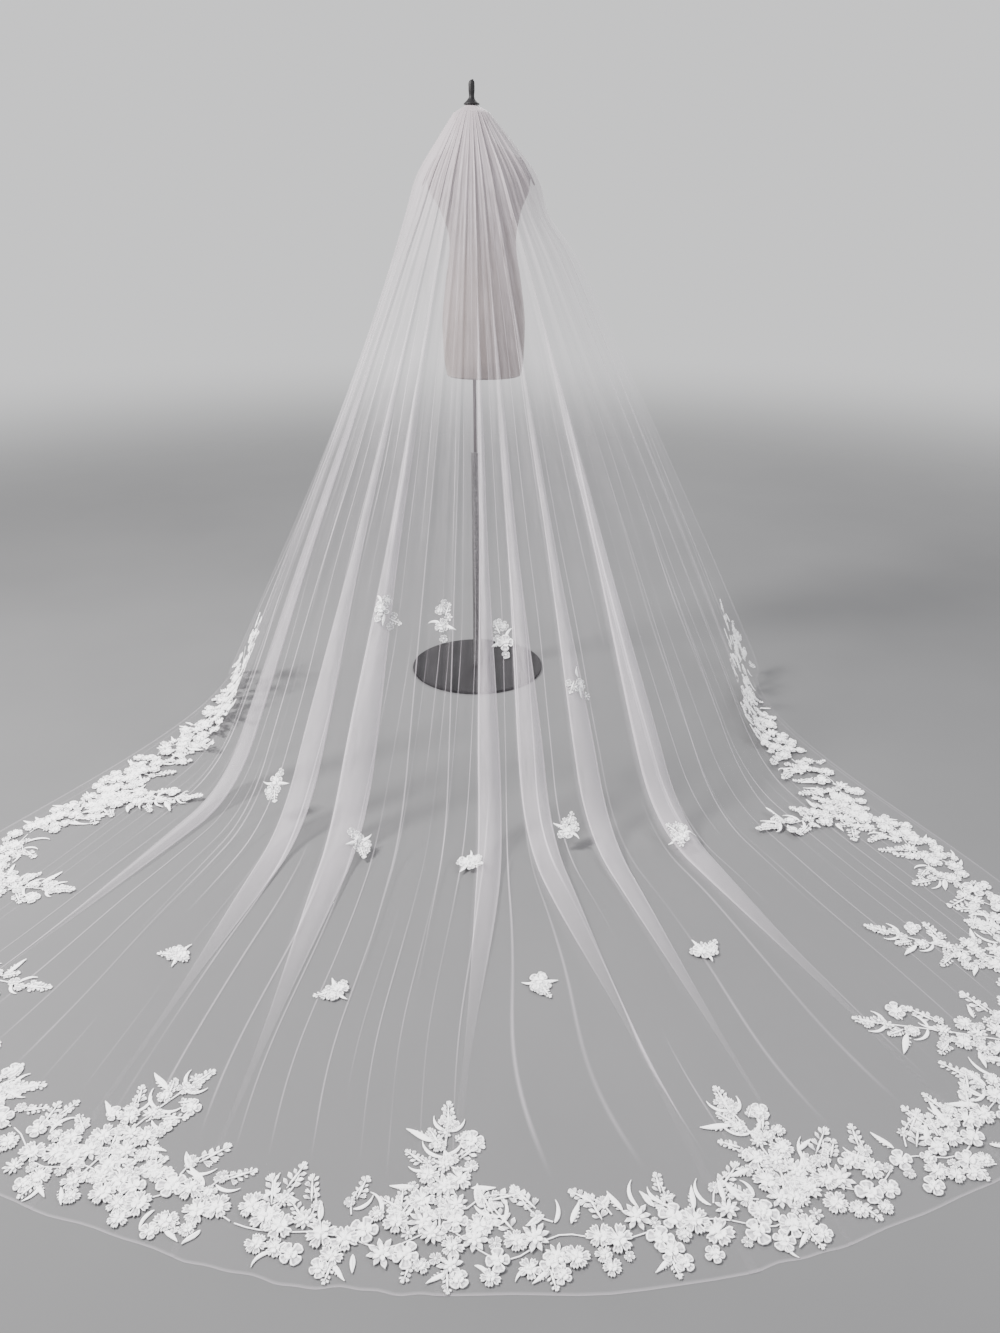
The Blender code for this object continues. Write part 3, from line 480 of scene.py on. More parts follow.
# The raw hem is a little uneven: how many waves, how far in or out, where they start
HEM_UNEVEN = ((7, 0.0036, 0.6), (17, 0.0026, 2.0), (41, 0.0014, 4.1))
HEM_MOST = sum(high for _, high, _ in HEM_UNEVEN)


def since(place, change):
    """How far a change is done at a place: 0 where it begins, 1 where it has ended."""
    begins, stretch = change
    return float(smooth((place - begins) / stretch))


def until(place, change):
    return 1.0 - since(place, change)


def flat_fold(q, pressed):
    """Across, back under itself and across again: place, lift, how near a turned edge."""
    x = (2 * q - 1) + (1 - 2 * q - math.cos(3 * math.pi * q)) * pressed
    ease = float(smooth(q / 0.14) * smooth((1 - q) / 0.14))
    edge = float(smooth((abs(x) - 0.86) / 0.11)) * ease * pressed
    return x, (0.30 + 0.70 * q) * (1.0 - 0.72 * x * x) * ease, edge


def narrow_fold(x):
    return x, max(math.cos(x * math.pi / 2), 0.0) ** 1.5, 0.8 * (x == 0.0)


def cloth_columns(place):
    """One row's columns: their index, lift, how near a turned edge, share in a broad fold."""
    columns = []
    before = 0.0
    pressed = since(place, FOLDS_PRESSED)
    between = np.linspace(0, 1, BETWEEN_STEPS + 1)
    for number, (_, _, half, height, runs_to) in enumerate(FOLDS, 1):
        reach = until(place, (FOLDS_FADE_FROM, 1.0 + runs_to - FOLDS_FADE_FROM))
        if half > BROAD:
            width = half * (0.10 + 0.90 * reach) * SLIMMER.get(number, 1.0)
            width *= NARROW_ABOVE + (1.0 - NARROW_ABOVE) * since(place, FOLDS_WIDEN)
            fold = [flat_fold(q, pressed) for q in np.linspace(0, 1, FLAT_FOLD_STEPS + 1)[:-1]]
        else:
            width = half * (0.35 + 0.65 * reach)
            fold = [narrow_fold(x) for x in NARROW_FOLD_AT]
        columns += [(before + (number - width - before) * t, 0.0, 0.0, 0.0) for t in between[:-1]]
        for x, up, edge in fold:
            columns.append((number + width * x, up * height * reach, edge * reach, reach * (half > BROAD)))
        before = number + width
    columns += [(before + (LAST - before) * t, 0.0, 0.0, 0.0) for t in between]
    return np.array(columns).T


def across_at(index, place, step):
    """The way across each column, from a step on its left to a step on its right."""
    return base(np.clip(index + step, 0, LAST), place) - base(np.clip(index - step, 0, LAST), place)


def base_normal(index, place):
    step = 0.002
    down = base(index, min(place + step, 2.0)) - base(index, max(place - step, 0.0))
    normal = np.cross(down, across_at(index, place, step))
    return normal / np.linalg.norm(normal, axis=1)[:, None]


def calm_sides(index, place):
    """How much of the folds stays: high up at the two sides the cloth hangs smooth."""
    return 1.0 - 0.88 * np.abs(np.sin(down_angle(index))) ** 8 * until(place, SIDES_LIVEN)


def hem_shift(index, place):
    """How far the uneven hem moves each column in plan."""
    inward = (base(index, 1.9) - base(index, 2.0))[:, :2]
    inward /= np.linalg.norm(inward, axis=1)[:, None]
    uneven = sum(high * np.sin(2 * np.pi * count * index / LAST + turn) for count, high, turn in HEM_UNEVEN)
    return inward * ((uneven - 0.5 * HEM_MOST) * since(place, HEM_BEGINS))[:, None]


def tulle_points(index, lift, place):
    pitch = np.linalg.norm(across_at(index, place, 0.5), axis=1)
    room = np.clip((pitch - ROOM_FROM) / ROOM_MORE, 0.0, 1.0)
    wave = sum(high * np.sin(2 * np.pi * (count * index / LAST + turn * place)) for count, high, turn in WAVES)
    wave = (wave + WAVES_MOST) * 0.5 * until(place, WAVES_END) * np.clip(pitch / WAVE_ROOM, 0, 1)
    rise = (lift * room + wave) * calm_sides(index, place) + CLOTH_LIFT
    point = base(index, place) + base_normal(index, place) * rise[:, None]
    point[:, 2] = np.maximum(point[:, 2], CLOTH_LIFT)
    point[:, :2] -= hem_shift(index, place)
    return point


def build_tulle(material):
    grid, cloth_uv, net_uv, values = [], [], [], []
    down = 0.0
    for place in ROWS_AT:
        index, lift, edge, band = cloth_columns(place)
        same = np.ones(len(index))
        point = tulle_points(index, lift, place)
        if grid:
            down += np.linalg.norm(point - grid[-1], axis=1).mean()
        grid.append(point)
        cloth_uv.append(np.stack([index / LAST * FLAT_WIDTH, same * down], -1))
        across = lengths_along(point)
        net_uv.append(np.stack([across - across[-1] / 2 + down * 0.5, same * down], -1))
        # The pressed folds are clearest in the lower half of the drape and on the floor
        shown = since(place, FOLDS_SHOW)
        layers = max(FLAT_WIDTH / lengths_along(base(np.linspace(0, LAST, 90), place))[-1], 1.0)
        values.append((
            1 - (1 - SINGLE_COVER) ** (layers**CROWDING) + band * BAND_COVER * shown,
            edge * TURNED_COVER * (0.2 + 0.8 * shown),
            same * (0.25 + 0.75 * until(place, GATHERS_EASE)) * until(place, GATHERS_END),
            # painted shade: strongest at the neck, gone lower down
            same * until(place, PAINTED_NECK_SHADE_ENDS),
        ))
    values = np.array(values).transpose(1, 0, 2)
    # A thin bright line along the raw hem and side edges
    crease = values[1]
    crease[-1] += RAW_HEM_COVER
    crease[:, (0, -1)] += RAW_SIDE_COVER
    piece = mesh_piece("veil_tulle", np.concatenate(grid), grid_faces(len(grid), len(grid[0])), material)
    mesh = piece.data
    for name, some in zip(("cover", "crease", "gathered", "crowded"), values):
        point_values(piece, name, some)
    corners = np.zeros(len(mesh.loops), dtype=np.int32)
    mesh.loops.foreach_get("vertex_index", corners)
    for name, some in (("cloth", cloth_uv), ("net", net_uv)):
        layer = mesh.uv_layers.new(name=name)
        layer.data.foreach_set("uv", np.concatenate(some)[corners].astype(np.float32).ravel())
    return dress(piece, "tulle", "tulle_drape", "tulle_train")


# ---------------- the lace
LACE_START = 0.05
# Runs along the veil's edge: name, where it ends, where sprigs hang from it to the hem
LACE_RUNS = (
    ("left_side", 0.60, ()), ("left_upper", 1.02, ()), ("left_mid", 1.42, ()), ("left_corner", 1.86, (1.70,)),
    ("left_lower", 2.30, (2.05, 2.22)), ("hem_left", 2.76, (2.42, 2.66)),
    ("hem_centre", 3.32, (2.93, 3.11, 3.26)), ("hem_right", 3.86, (3.44, 3.66)),
    ("right_lower", 4.22, (3.98,)), ("right_corner", 4.48, (4.32,)), ("right_mid", 4.96, (4.7,)),
    ("right_upper", 5.56, ()), ("right_side", 6.11, ()),
)
# Sprays: where each leaves the garland, its tip (x, how far ahead), its half width
SPRAYS = (
    (0.84, -0.697, 0.83, 0.052), (1.22, -0.874, 1.205, 0.06), (1.61, -0.787, 1.529, 0.066),
    (2.1, -0.727, 1.763, 0.056), (2.48, -0.43, 1.724, 0.072), (3.09, -0.006, 1.8, 0.068),
    (3.67, 0.442, 1.767, 0.07), (4.35, 0.721, 1.6, 0.066), (4.63, 0.844, 1.326, 0.062),
    (5.3, 0.699, 0.968, 0.058),
)
# Loose motifs: x, how far ahead, turn
MOTIFS = (
    (-0.206, 0.748, 20), (-0.065, 0.75, 75), (0.082, 0.769, 130), (0.262, 0.831, 200), (-0.483, 0.899, 250),
    (-0.254, 1.063, 310), (0.006, 1.119, 340), (0.237, 1.029, 60), (0.502, 1.039, 110), (-0.581, 1.42, 160),
    (-0.245, 1.526, 215), (0.153, 1.506, 280), (0.494, 1.41, 30),
)
RUN_SEED, MOTIF_SEED = 100, 300


def edge_curve():
    down = np.linspace(0.0, 1.0, 60)[:, None]
    sides = ((-SIDE, down), (SIDE, down[::-1]))
    left, right = (lie(np.full(60, a), np.full(60, a), share) for a, share in sides)
    return np.vstack([left[:-1], hem_ring(np.linspace(-SIDE, SIDE, 120)), right[1:]])[:, :2]


EDGE = edge_curve()
EDGE_AT = lengths_along(EDGE)


def edge_spot(along, inset):
    """A place in plan, given along the veil's edge and in from it, and the way in."""
    near = np.array([along - 0.03, along, along + 0.03])
    spots = np.stack([np.interp(near, EDGE_AT, EDGE[:, axis]) for axis in (0, 1)], -1)
    ahead = spots[2] - spots[0]
    ahead /= np.linalg.norm(ahead)
    inward = np.array([-ahead[1], ahead[0]])
    return spots[1] + inward * inset, inward


def clamp(x):
    return min(max(x, 0.0), 1.0)


def smooth_step(x):
    """What smooth does, but quicker for a single number."""
    x = clamp(x)
    return x * x * (3 - 2 * x)


def way(turn):
    """Cosine and sine of a turn in degrees."""
    return math.cos(math.radians(turn)), math.sin(math.radians(turn))


def heading(vector):
    return math.degrees(math.atan2(vector[1], vector[0]))


# Places along a petal; for each kind of end, places across it and how far out it reaches there
PETAL_ALONG = (0.0, 0.36, 0.66, 0.84, 0.94, 1.0)
PETAL_ENDS = {
    "round": ((-1.0, -0.84, -0.5, 0.0, 0.5, 0.84, 1.0), (0.70, 0.86, 0.98, 1.0, 0.98, 0.86, 0.70)),
    "ragged": (
        (-1.0, -0.84, -0.56, -0.28, 0.0, 0.28, 0.56, 0.84, 1.0),
        (0.64, 0.82, 0.97, 0.83, 1.0, 0.83, 0.97, 0.82, 0.64),
    ),
    "pointed": ((-1.0, -0.66, 0.0, 0.66, 1.0), (0.54, 0.74, 1.0, 0.74, 0.54)),
}
# Shares of a petal's height: its ground, what the rib and the cord add, its thin rim
GROUND_UP, RIB_UP, CORD_UP, RIM_UP = 0.22, 0.26, 0.70, 0.05


def petal(length, half_angle, end="round", tilt=0.0):
    """A petal that fans out along +X, with a corded edge and a rib; a tilt lifts one side."""
    across, reach = PETAL_ENDS[end]
    points = []
    for u in PETAL_ALONG:
        for v, out in zip(across, reach):
            cord_here = max(smooth_step((abs(v) - 0.58) / 0.24), smooth_step((u - 0.84) / 0.10))
            up = GROUND_UP + RIB_UP * max(1.0 - abs(v) * 3.0, 0.0) + CORD_UP * cord_here + tilt * v
            up *= 0.45 + 0.55 * smooth_step(u / 0.6)
            if abs(v) > 0.99 or u > 0.99:
                up = RIM_UP
            angle = math.radians(half_angle) * v
            points.append((length * u * out * math.cos(angle), length * u * out * math.sin(angle), up))
    return points, grid_faces(len(PETAL_ALONG), len(across))


def joined(shapes):
    """Shapes in one: each is (shape, turn in degrees, x, y, rise)."""
    points, faces = [], []
    for (some, quads), turn, x, y, rise in shapes:
        c, s = way(turn)
        start = len(points)
        points += [(x + px * c - py * s, y + px * s + py * c, up + rise) for px, py, up in some]
        faces += [tuple(start + i for i in face) for face in quads]
    return points, faces


def bud(radius, count=8):
    points = [(0.0, 0.0, 1.0)]
    for reach, up in ((0.6, 0.85), (1.0, 0.1)):
        r = radius * reach
        points += [(r * math.cos(a), r * math.sin(a), up) for a in round_angles(count)]
    faces = [(0, 1 + c, 1 + (c + 1) % count) for c in range(count)]
    faces += [tuple(reversed(f)) for f in grid_faces(2, count, 1, closed=True)]
    return points, faces


def petal_ring(count, radius, chance, end, rise, first):
    """Petals in a ring, each a little over the next, with gaps between them."""
    draw = chance.uniform
    petals = []
    for n in range(count):
        one = petal(radius * draw(0.88, 1.08), 180 / count * 0.90 * draw(0.92, 1.06), end, 0.12)
        petals.append((one, first + 360 / count * n + draw(-6, 6), 0.0, 0.0, rise))
    return petals


# Kinds of flower: petals' end, how many outside and inside, size of the inner ring and of the button
FLOWERS = {
    "carnation": ("ragged", (5, 6, 6), 4, 0.56, 0.15),
    "rose": ("round", (4, 5), 3, 0.54, 0.17),
    "daisy": ("pointed", (8, 9, 10), 6, 0.60, 0.19),
    "star": ("pointed", (6, 7), 0, 0.0, 0.24),
    "violet": ("ragged", (4, 5), 0, 0.0, 0.22),
}
# Flowers and florets: kinds to draw from, share of the radius that they fill, height
FLOWER = (("carnation", "carnation", "carnation", "carnation", "daisy", "rose", "rose"), 1.06, 0.0022)
FLORET = (("star", "violet", "violet", "violet"), 1.1, 0.0017)


def blossom(kind, radius, chance):
    end, counts, inner, inner_size, button = FLOWERS[kind]
    first = chance.uniform(0, 360)
    petals = petal_ring(chance.choice(counts), radius, chance, end, 0.0, first)
    petals += petal_ring(inner, radius * inner_size, chance, end, 0.55, first + 40)
    return joined([*petals, (bud(radius * button), 0.0, 0.0, 0.0, 0.5 + 0.5 * bool(inner))])


# Across a leaf and across a crescent: share of the half width, share of the height
LEAF_ACROSS = ((-1, 0.1), (-0.8, 1.0), (0, 0.45), (0.8, 1.0), (1, 0.1))
CRESCENT_ACROSS = ((-1, 0.1), (-0.7, 0.9), (0, 0.6), (0.7, 0.9), (1, 0.1))
LEAF_END_HALF = 0.0004


def leaf_shape(steps, width, fullness, across, rib):
    """A leaf round a rib, which gives a point and the way across it for a share of the length."""
    points = []
    for n in range(steps + 1):
        t = n / steps
        half = width / 2 * math.sin(math.pi * t**fullness) ** 0.8 if 0 < t < 1 else LEAF_END_HALF
        x, y, nx, ny = rib(t)
        points += [(x + nx * side * half, y + ny * side * half, up) for side, up in across]
    return points, grid_faces(steps + 1, len(across))


def slim_leaf(length, width, curve, steps=8):
    def rib(t):
        lean = -curve * math.sin(math.pi * t)
        size = math.hypot(lean, 1.0)
        return length * t, curve * length * math.sin(math.pi * t / 2) ** 2, lean / size, 1.0 / size

    return leaf_shape(steps, width, 0.8, LEAF_ACROSS, rib)


def crescent(length, width, sweep):
    """A slim leaf along an arc that sweeps through some degrees."""
    radius = length / abs(math.radians(sweep))

    def rib(t):
        c, s = math.cos(math.radians(sweep) * t), math.sin(math.radians(sweep) * t)
        return radius * abs(s), math.copysign(radius * (1 - c), sweep), -s, c

    return leaf_shape(9, width, 0.7, CRESCENT_ACROSS, rib)


def fern(length, pairs, chance):
    """A sprig: a rib along +X with pairs of small cut leaflets and a bigger one at its tip."""
    draw = chance.uniform
    shapes = [(slim_leaf(length * 0.86, 0.0036, 0.0, 4), 0.0, 0.0, 0.0, 0.3)]
    for n in range(pairs):
        t = 0.10 + 0.62 * n / (pairs - 1)
        for side in (-1, 1):
            size = length * (0.33 - 0.14 * t) * draw(0.82, 1.15)
            leaflet = petal(size, draw(21, 29), chance.choice(("pointed", "ragged", "pointed")))
            turn = side * (58 - 22 * t) + draw(-9, 9)
            shapes.append((leaflet, turn, length * t, side * 0.0008, 0.15 * (n % 2)))
    shapes.append((petal(length * 0.30, 24, "ragged"), draw(-8, 8), length * 0.72, 0.0, 0.2))
    return joined(shapes)


def comb_leaf(length, chance):
    """A long leaf that is whole on one side and cut into teeth on the other."""
    side = chance.choice((-1, 1))
    shapes = [(slim_leaf(length, length * 0.22, 0.12 * side), 0.0, 0.0, 0.0, 0.2)]
    for n in range(5):
        t = 0.10 + 0.15 * n
        size = length * 0.23 * math.sin(math.pi * (t + 0.15))
        shapes.append((petal(size, 19, "pointed"), side * 58, length * t, side * 0.002, 0.0))
    return joined(shapes)


def cord(points, width):
    """A raised cord along some points in plan."""
    made = []
    for n, here in enumerate(points):
        ahead = points[min(n + 1, len(points) - 1)] - points[max(n - 1, 0)]
        across = np.array([-ahead[1], ahead[0]]) / np.linalg.norm(ahead) * width / 2
        made += [(*(here + across * side), up) for side, up in ((-1, 0.1), (0, 0.9), (1, 0.1))]
    return made, grid_faces(len(points), 3)


# From how high the cloth is looked for, how near and how many faces give its slope, how deep a shape is laid
LOOK_FROM, SLOPE_NEAR, SLOPE_FACES, PLANE_UP, PLANE_DEEP = 1.7, 0.03, 60, 0.03, 0.07
OVER_CLOTH = 0.0005


class Lace:
    """One piece of lace: its shapes in plan, then laid on the tulle."""

    def __init__(self, tree, chance):
        self.tree, self.chance = tree, chance
        self.points, self.raised, self.faces = [], [], []
        self.spots = []

    def below(self, x, y):
        return self.tree.ray_cast(Vector((x, y, LOOK_FROM)), Vector((0, 0, -1)))[0]

    def add(self, shape, x, y, turn, height, lift=0.0):
        """Lays a shape on the cloth about a place in plan."""
        origin = self.below(x, y)
        if origin is None:
            return
        near = [found[1] for found in self.tree.find_nearest_range(origin, SLOPE_NEAR)[:SLOPE_FACES]]
        normal = (sum((n if n.z > 0 else -n for n in near), Vector()) / len(near)).normalized()
        ahead = (Vector((0, 1, 0)) - normal * normal.y).normalized()
        side = ahead.cross(normal)
        points, faces = shape
        c, s = way(turn)
        laid = []
        for px, py, up in points:
            flat = origin + side * (px * c - py * s) + ahead * (px * s + py * c)
            hit = self.tree.ray_cast(flat + normal * PLANE_UP, -normal, PLANE_DEEP)[0]
            if hit is None:
                return
            laid.append(hit + normal * (OVER_CLOTH + lift + height * up))
        self.faces += [tuple(len(self.points) + i for i in f) for f in faces]
        self.points += laid
        self.raised += [up for _, _, up in points]

    def lay_cord(self, points, width, height, run):
        """A cord along points in plan, laid in short runs."""
        for first in range(0, len(points) - 1, run):
            part = points[first:first + run + 1]
            centre = part.mean(axis=0)
            self.add(cord(part - centre, width), *centre, 0.0, height)

    def spot_at(self, x, y):
        return self.below(x, y) or Vector((x, y, 0))

    def fits(self, x, y, radius, least, most):
        """Whether the room between a flower there and the nearest one is within limits."""
        here = self.spot_at(x, y)
        room = min(((here - spot).length - r - radius for spot, r in self.spots), default=0.0)
        return least < room < most

    def flower(self, x, y, radius, lift, kind=None, sort=FLOWER):
        kinds, fill, height = sort
        made = blossom(kind or self.chance.choice(kinds), radius * fill, self.chance)
        self.add(made, x, y, 0.0, height, lift)
        self.spots.append((self.spot_at(x, y), radius))

    def floret(self, x, y, radius, lift):
        self.flower(x, y, radius, lift, sort=FLORET)

    def fill(self, x, y, radius, flower_from, most_lift):
        """A flower or, where the radius is small, a floret."""
        if radius > flower_from:
            self.flower(x, y, radius, self.chance.uniform(0, most_lift))
        else:
            self.floret(x, y, radius, self.chance.uniform(0, 0.0005))

    def piece(self, name, material, node):
        made = mesh_piece(name, self.points, self.faces, material)
        # The heights of the shapes also set the painted shade in the lace's colour
        point_values(made, "raised", self.raised)
        return dress(made, "lace", node)


def from_end(along):
    return min(along, EDGE_AT[-1] - along)


def band_centre(along):
    sway = 0.008 * math.sin(along * 17.0) + 0.006 * math.sin(along * 41.0)
    return 0.064 + (0.018 + sway) * clamp(from_end(along) / 0.45)


def band_half(along):
    return 0.052 - 0.008 * clamp(from_end(along) / 0.9)


# Down the two sides the flowers stand closer
SIDE_LENGTH, SIDE_CLOSER, SIDE_TRIES = 1.1, 0.72, 2.4
# Flowers between the big ones: least and most radius, least and most room, tries for a metre
BETWEEN_FLOWERS = ((0.0125, 0.0175, -0.0075, -0.0030, 230), (0.0080, 0.0110, -0.0050, -0.0020, 170))


def steps_along(chance, along, end, least, most, closer=1.0):
    """Lengths along the edge, a random step apart."""
    while along < end:
        yield along
        along += chance.uniform(least, most) * closer


def garland(lace, start, end):
    """The dense band along the edge: big flowers, smaller ones between, leaves and twigs."""
    chance, draw = lace.chance, lace.chance.uniform
    length = end - start
    at_side = min(end, EDGE_AT[-1] - start) < SIDE_LENGTH
    closer, more_tries = (SIDE_CLOSER, SIDE_TRIES) if at_side else (1.0, 1.0)
    stem_at = np.linspace(start + 0.004, end - 0.004, max(int(length / 0.02), 4))
    stem = np.array([edge_spot(a, band_centre(a) + 0.014 * math.sin(a * 31))[0] for a in stem_at])
    lace.lay_cord(stem, 0.0028, 0.0012, 6)
    side = chance.choice((-1, 1))
    for along in steps_along(chance, start + 0.018, end - 0.014, 0.025, 0.039, closer):
        radius = draw(0.0175, 0.0245)
        inset = band_centre(along) + side * draw(0.16, 0.54) * band_half(along)
        (x, y), _ = edge_spot(along, max(inset, radius + 0.012))
        lace.flower(x, y, radius, draw(0.0003, 0.0016))
        side = -side if chance.random() < 0.8 else side
    for radius_low, radius_high, least, most, tries in BETWEEN_FLOWERS:
        for _ in range(int(length * more_tries * tries)):
            along = draw(start + radius_low, end - radius_low)
            radius = draw(radius_low, radius_high)
            inset = band_centre(along) + draw(-1, 1) * band_half(along) * 1.05
            (x, y), _ = edge_spot(along, inset)
            if inset > radius + 0.010 and lace.fits(x, y, radius, least, most):
                lace.fill(x, y, radius, 0.0125, 0.0009)
    for along in steps_along(chance, start + draw(0.01, 0.03), end - 0.02, 0.024, 0.042, closer):
        side = chance.choice((-1, 1, 1))
        (x, y), inward = edge_spot(along, band_centre(along) + side * band_half(along) * 0.70)
        turn = heading(inward * side) + draw(-55, 55)
        leaf(lace, x, y, turn, draw(0.038, 0.054) * (0.74 if side < 0 else 1.0))
    for along in steps_along(chance, start + draw(0.02, 0.05), end - 0.02, 0.055, 0.090):
        root, inward = edge_spot(along, band_centre(along) + band_half(along) * 0.75)
        twig(lace, root, heading(inward) + draw(-55, 55), draw(0.052, 0.085))


def leaf(lace, x, y, turn, size):
    """One leaf of some kind with its root at a place in plan."""
    chance = lace.chance
    kind = chance.random()
    if kind < 0.30:
        lace.add(fern(size * 1.1, 4, chance), x, y, turn, 0.0016)
    elif kind < 0.62:
        sweep = chance.choice((-1, 1)) * chance.uniform(60, 105)
        lace.add(crescent(size * 1.05, 0.0072, sweep), x, y, turn - sweep / 2, 0.0015)
    elif kind < 0.84:
        lace.add(comb_leaf(size, chance), x, y, turn, 0.0016)
    else:
        lace.add(slim_leaf(size * 0.8, size * 0.24, chance.uniform(-0.3, 0.3)), x, y, turn, 0.0015)


def twig(lace, root, turn, length):
    """A side branch: a bent stem with a cut sprig, a small flower and up to two leaves."""
    chance = lace.chance
    ahead = np.array(way(turn))
    aside = np.array((-ahead[1], ahead[0]))
    side = chance.choice((-1, 1))

    def spot(share, across=0.0):
        return root + ahead * length * share + aside * side * across

    stem = [spot(0.75 * t, length * 0.10 * math.sin(math.pi * t)) for t in np.linspace(0, 1, 5)]
    lace.lay_cord(np.array(stem), 0.0032, 0.0014, 4)
    lace.add(fern(length * 0.66, 4, chance), *spot(0.40), turn - side * 6, 0.0017)
    lace.floret(*spot(0.30, 0.009), chance.uniform(0.0090, 0.0120), 0.0004)
    if chance.random() < 0.6:
        lace.add(crescent(length * 0.62, 0.0066, side * 80), *spot(0.14), turn - side * 78, 0.0015)
    if chance.random() < 0.5:
        lace.add(slim_leaf(length * 0.40, length * 0.14, 0.2 * side), *spot(0.2), turn + side * 60, 0.0015)


def pendant(lace, along):
    """A sprig from the band to the hem: a flower, a cut sprig, a rose and a leaf."""
    chance = lace.chance
    (x, y), inward = edge_spot(along, 0.050)
    turn = heading(-inward)
    side = chance.choice((-1, 1))
    lace.flower(x, y, 0.019, 0.0008)
    lace.flower(*edge_spot(along + 0.014 * side, 0.030)[0], 0.0145, 0.0004, "rose")
    (x, y), _ = edge_spot(along - 0.004 * side, 0.040)
    lace.add(fern(0.033, 4, chance), x, y, turn + side * chance.uniform(4, 14), 0.0016)
    lace.add(comb_leaf(0.034, chance), x, y, turn - side * chance.uniform(52, 66), 0.0015)


# What a spray carries, from its tip down: share of its length, share of its half width, kind, size, turn
SPRAY_PARTS = (
    (0.84, 0.0, "fern", 0.048, 0), (0.875, -0.12, "floret", 0.011, 0), (0.835, 0.14, "floret", 0.0115, 0),
    (0.8, -0.05, "crescent", 0.042, 62), (0.79, 0.05, "crescent", 0.038, -66),
    (0.785, -0.06, "floret", 0.012, 0), (0.72, 0.78, "rose", 0.018, 0), (0.7, 0.3, "fern", 0.03, -48),
    (0.7, -0.38, "comb", 0.05, 70), (0.7, -0.2, "fern", 0.036, 30), (0.66, -0.22, "carnation", 0.0145, 0),
    (0.585, 0.0, "crescent", 0.05, 76), (0.585, 0.04, "crescent", 0.04, -70), (0.48, 0.1, "twig", 0.07, -38),
    (0.47, -0.25, "twig", 0.056, 48), (0.52, 0.02, "daisy", 0.015, 0), (0.43, -0.34, "carnation", 0.02, 0),
    (0.405, 0.44, "carnation", 0.019, 0), (0.35, 0.1, "daisy", 0.019, 0), (0.355, -0.62, "comb", 0.04, 84),
    (0.335, -0.2, "floret", 0.011, 0), (0.345, 0.72, "comb", 0.036, -80), (0.25, -0.4, "carnation", 0.023, 0),
    (0.24, 0.36, "daisy", 0.021, 0), (0.2, 0.6, "twig", 0.086, -62), (0.19, -0.86, "fern", 0.042, 66),
    (0.17, 0.0, "floret", 0.012, 0), (0.12, 0.34, "rose", 0.019, 0), (0.11, -0.36, "daisy", 0.022, 0),
    (0.1, 0.86, "carnation", 0.02, 0), (0.09, -0.96, "carnation", 0.018, 0),
)
SPRAY_BEND = 84


def spray(lace, along, tip, half_width):
    """A tall spray: a stem from the band to its tip, with its parts on both sides of it."""
    chance, draw = lace.chance, lace.chance.uniform
    root, _ = edge_spot(along, band_centre(along))
    ahead = np.array(tip) - root
    length = np.linalg.norm(ahead)
    ahead = ahead / length
    across = np.array([-ahead[1], ahead[0]])
    sway = draw(-0.014, 0.014)
    mirror = chance.choice((-1, 1))
    facing = heading(ahead)

    def spot(t, aside=0.0):
        return root + ahead * length * t + across * (aside + sway * math.sin(math.pi * t))

    lace.lay_cord(np.array([spot(t) for t in np.linspace(0, 0.92, 12)]), 0.0036, 0.0014, 4)
    for t, aside, kind, size, turn in SPRAY_PARTS:
        t += draw(-0.015, 0.015)
        size *= draw(0.92, 1.10)
        x, y = spot(t, -mirror * aside * half_width * (0.62 + 0.38 * min((1.0 - t) / 0.7, 1.0)))
        turn = facing + mirror * (turn + draw(-7, 7))
        if kind in FLOWERS:
            lace.flower(x, y, size, draw(0.0003, 0.0012), kind)
        elif kind == "floret":
            lace.floret(x, y, size, 0.0005)
        elif kind == "fern":
            lace.add(fern(size, 5, chance), x, y, turn, 0.0017)
        elif kind == "comb":
            lace.add(comb_leaf(size, chance), x, y, turn, 0.0016)
        elif kind == "crescent":
            bent = math.copysign(SPRAY_BEND, facing - turn)
            lace.add(crescent(size, 0.0070, bent), x, y, turn - bent * 0.25, 0.0015)
        else:
            twig(lace, np.array((x, y)), turn, size)
    # Small flowers in the room beside the others
    for _ in range(int(length * 420)):
        t = draw(0.0, 0.55)
        radius = draw(0.0085, 0.0150)
        x, y = spot(t, draw(-1, 1) * half_width * (1.0 - 0.6 * t))
        if lace.fits(x, y, radius, -0.0055, -0.001):
            lace.fill(x, y, radius, 0.0120, 0.0007)


def loose_motif(lace, x, y, turn):
    """A small motif: a round flower, smaller ones, a cut sprig and two leaves."""
    chance = lace.chance
    c, s = way(turn)
    side = chance.choice((-1, 1))

    def put(ahead, aside):
        return x + (ahead * c - aside * side * s), y + (ahead * s + aside * side * c)

    lace.add(fern(0.034, 4, chance), *put(0.008, -0.004), turn - 14 * side, 0.0016)
    lace.add(comb_leaf(0.031, chance), *put(-0.004, -0.006), turn - 96 * side, 0.0015)
    lace.add(crescent(0.030, 0.0075, 60 * side), *put(-0.006, 0.006), turn + 66 * side, 0.0015)
    lace.flower(*put(-0.009, 0.0), 0.0185, 0.0006, chance.choice(("rose", "carnation")))
    lace.flower(*put(0.010, 0.010), 0.0135, 0.0004, "carnation")
    for ahead, aside, radius in ((0.007, -0.012, 0.0105), (0.022, 0.002, 0.0090), (-0.022, -0.008, 0.0100)):
        lace.floret(*put(ahead, aside), radius, 0.0003)


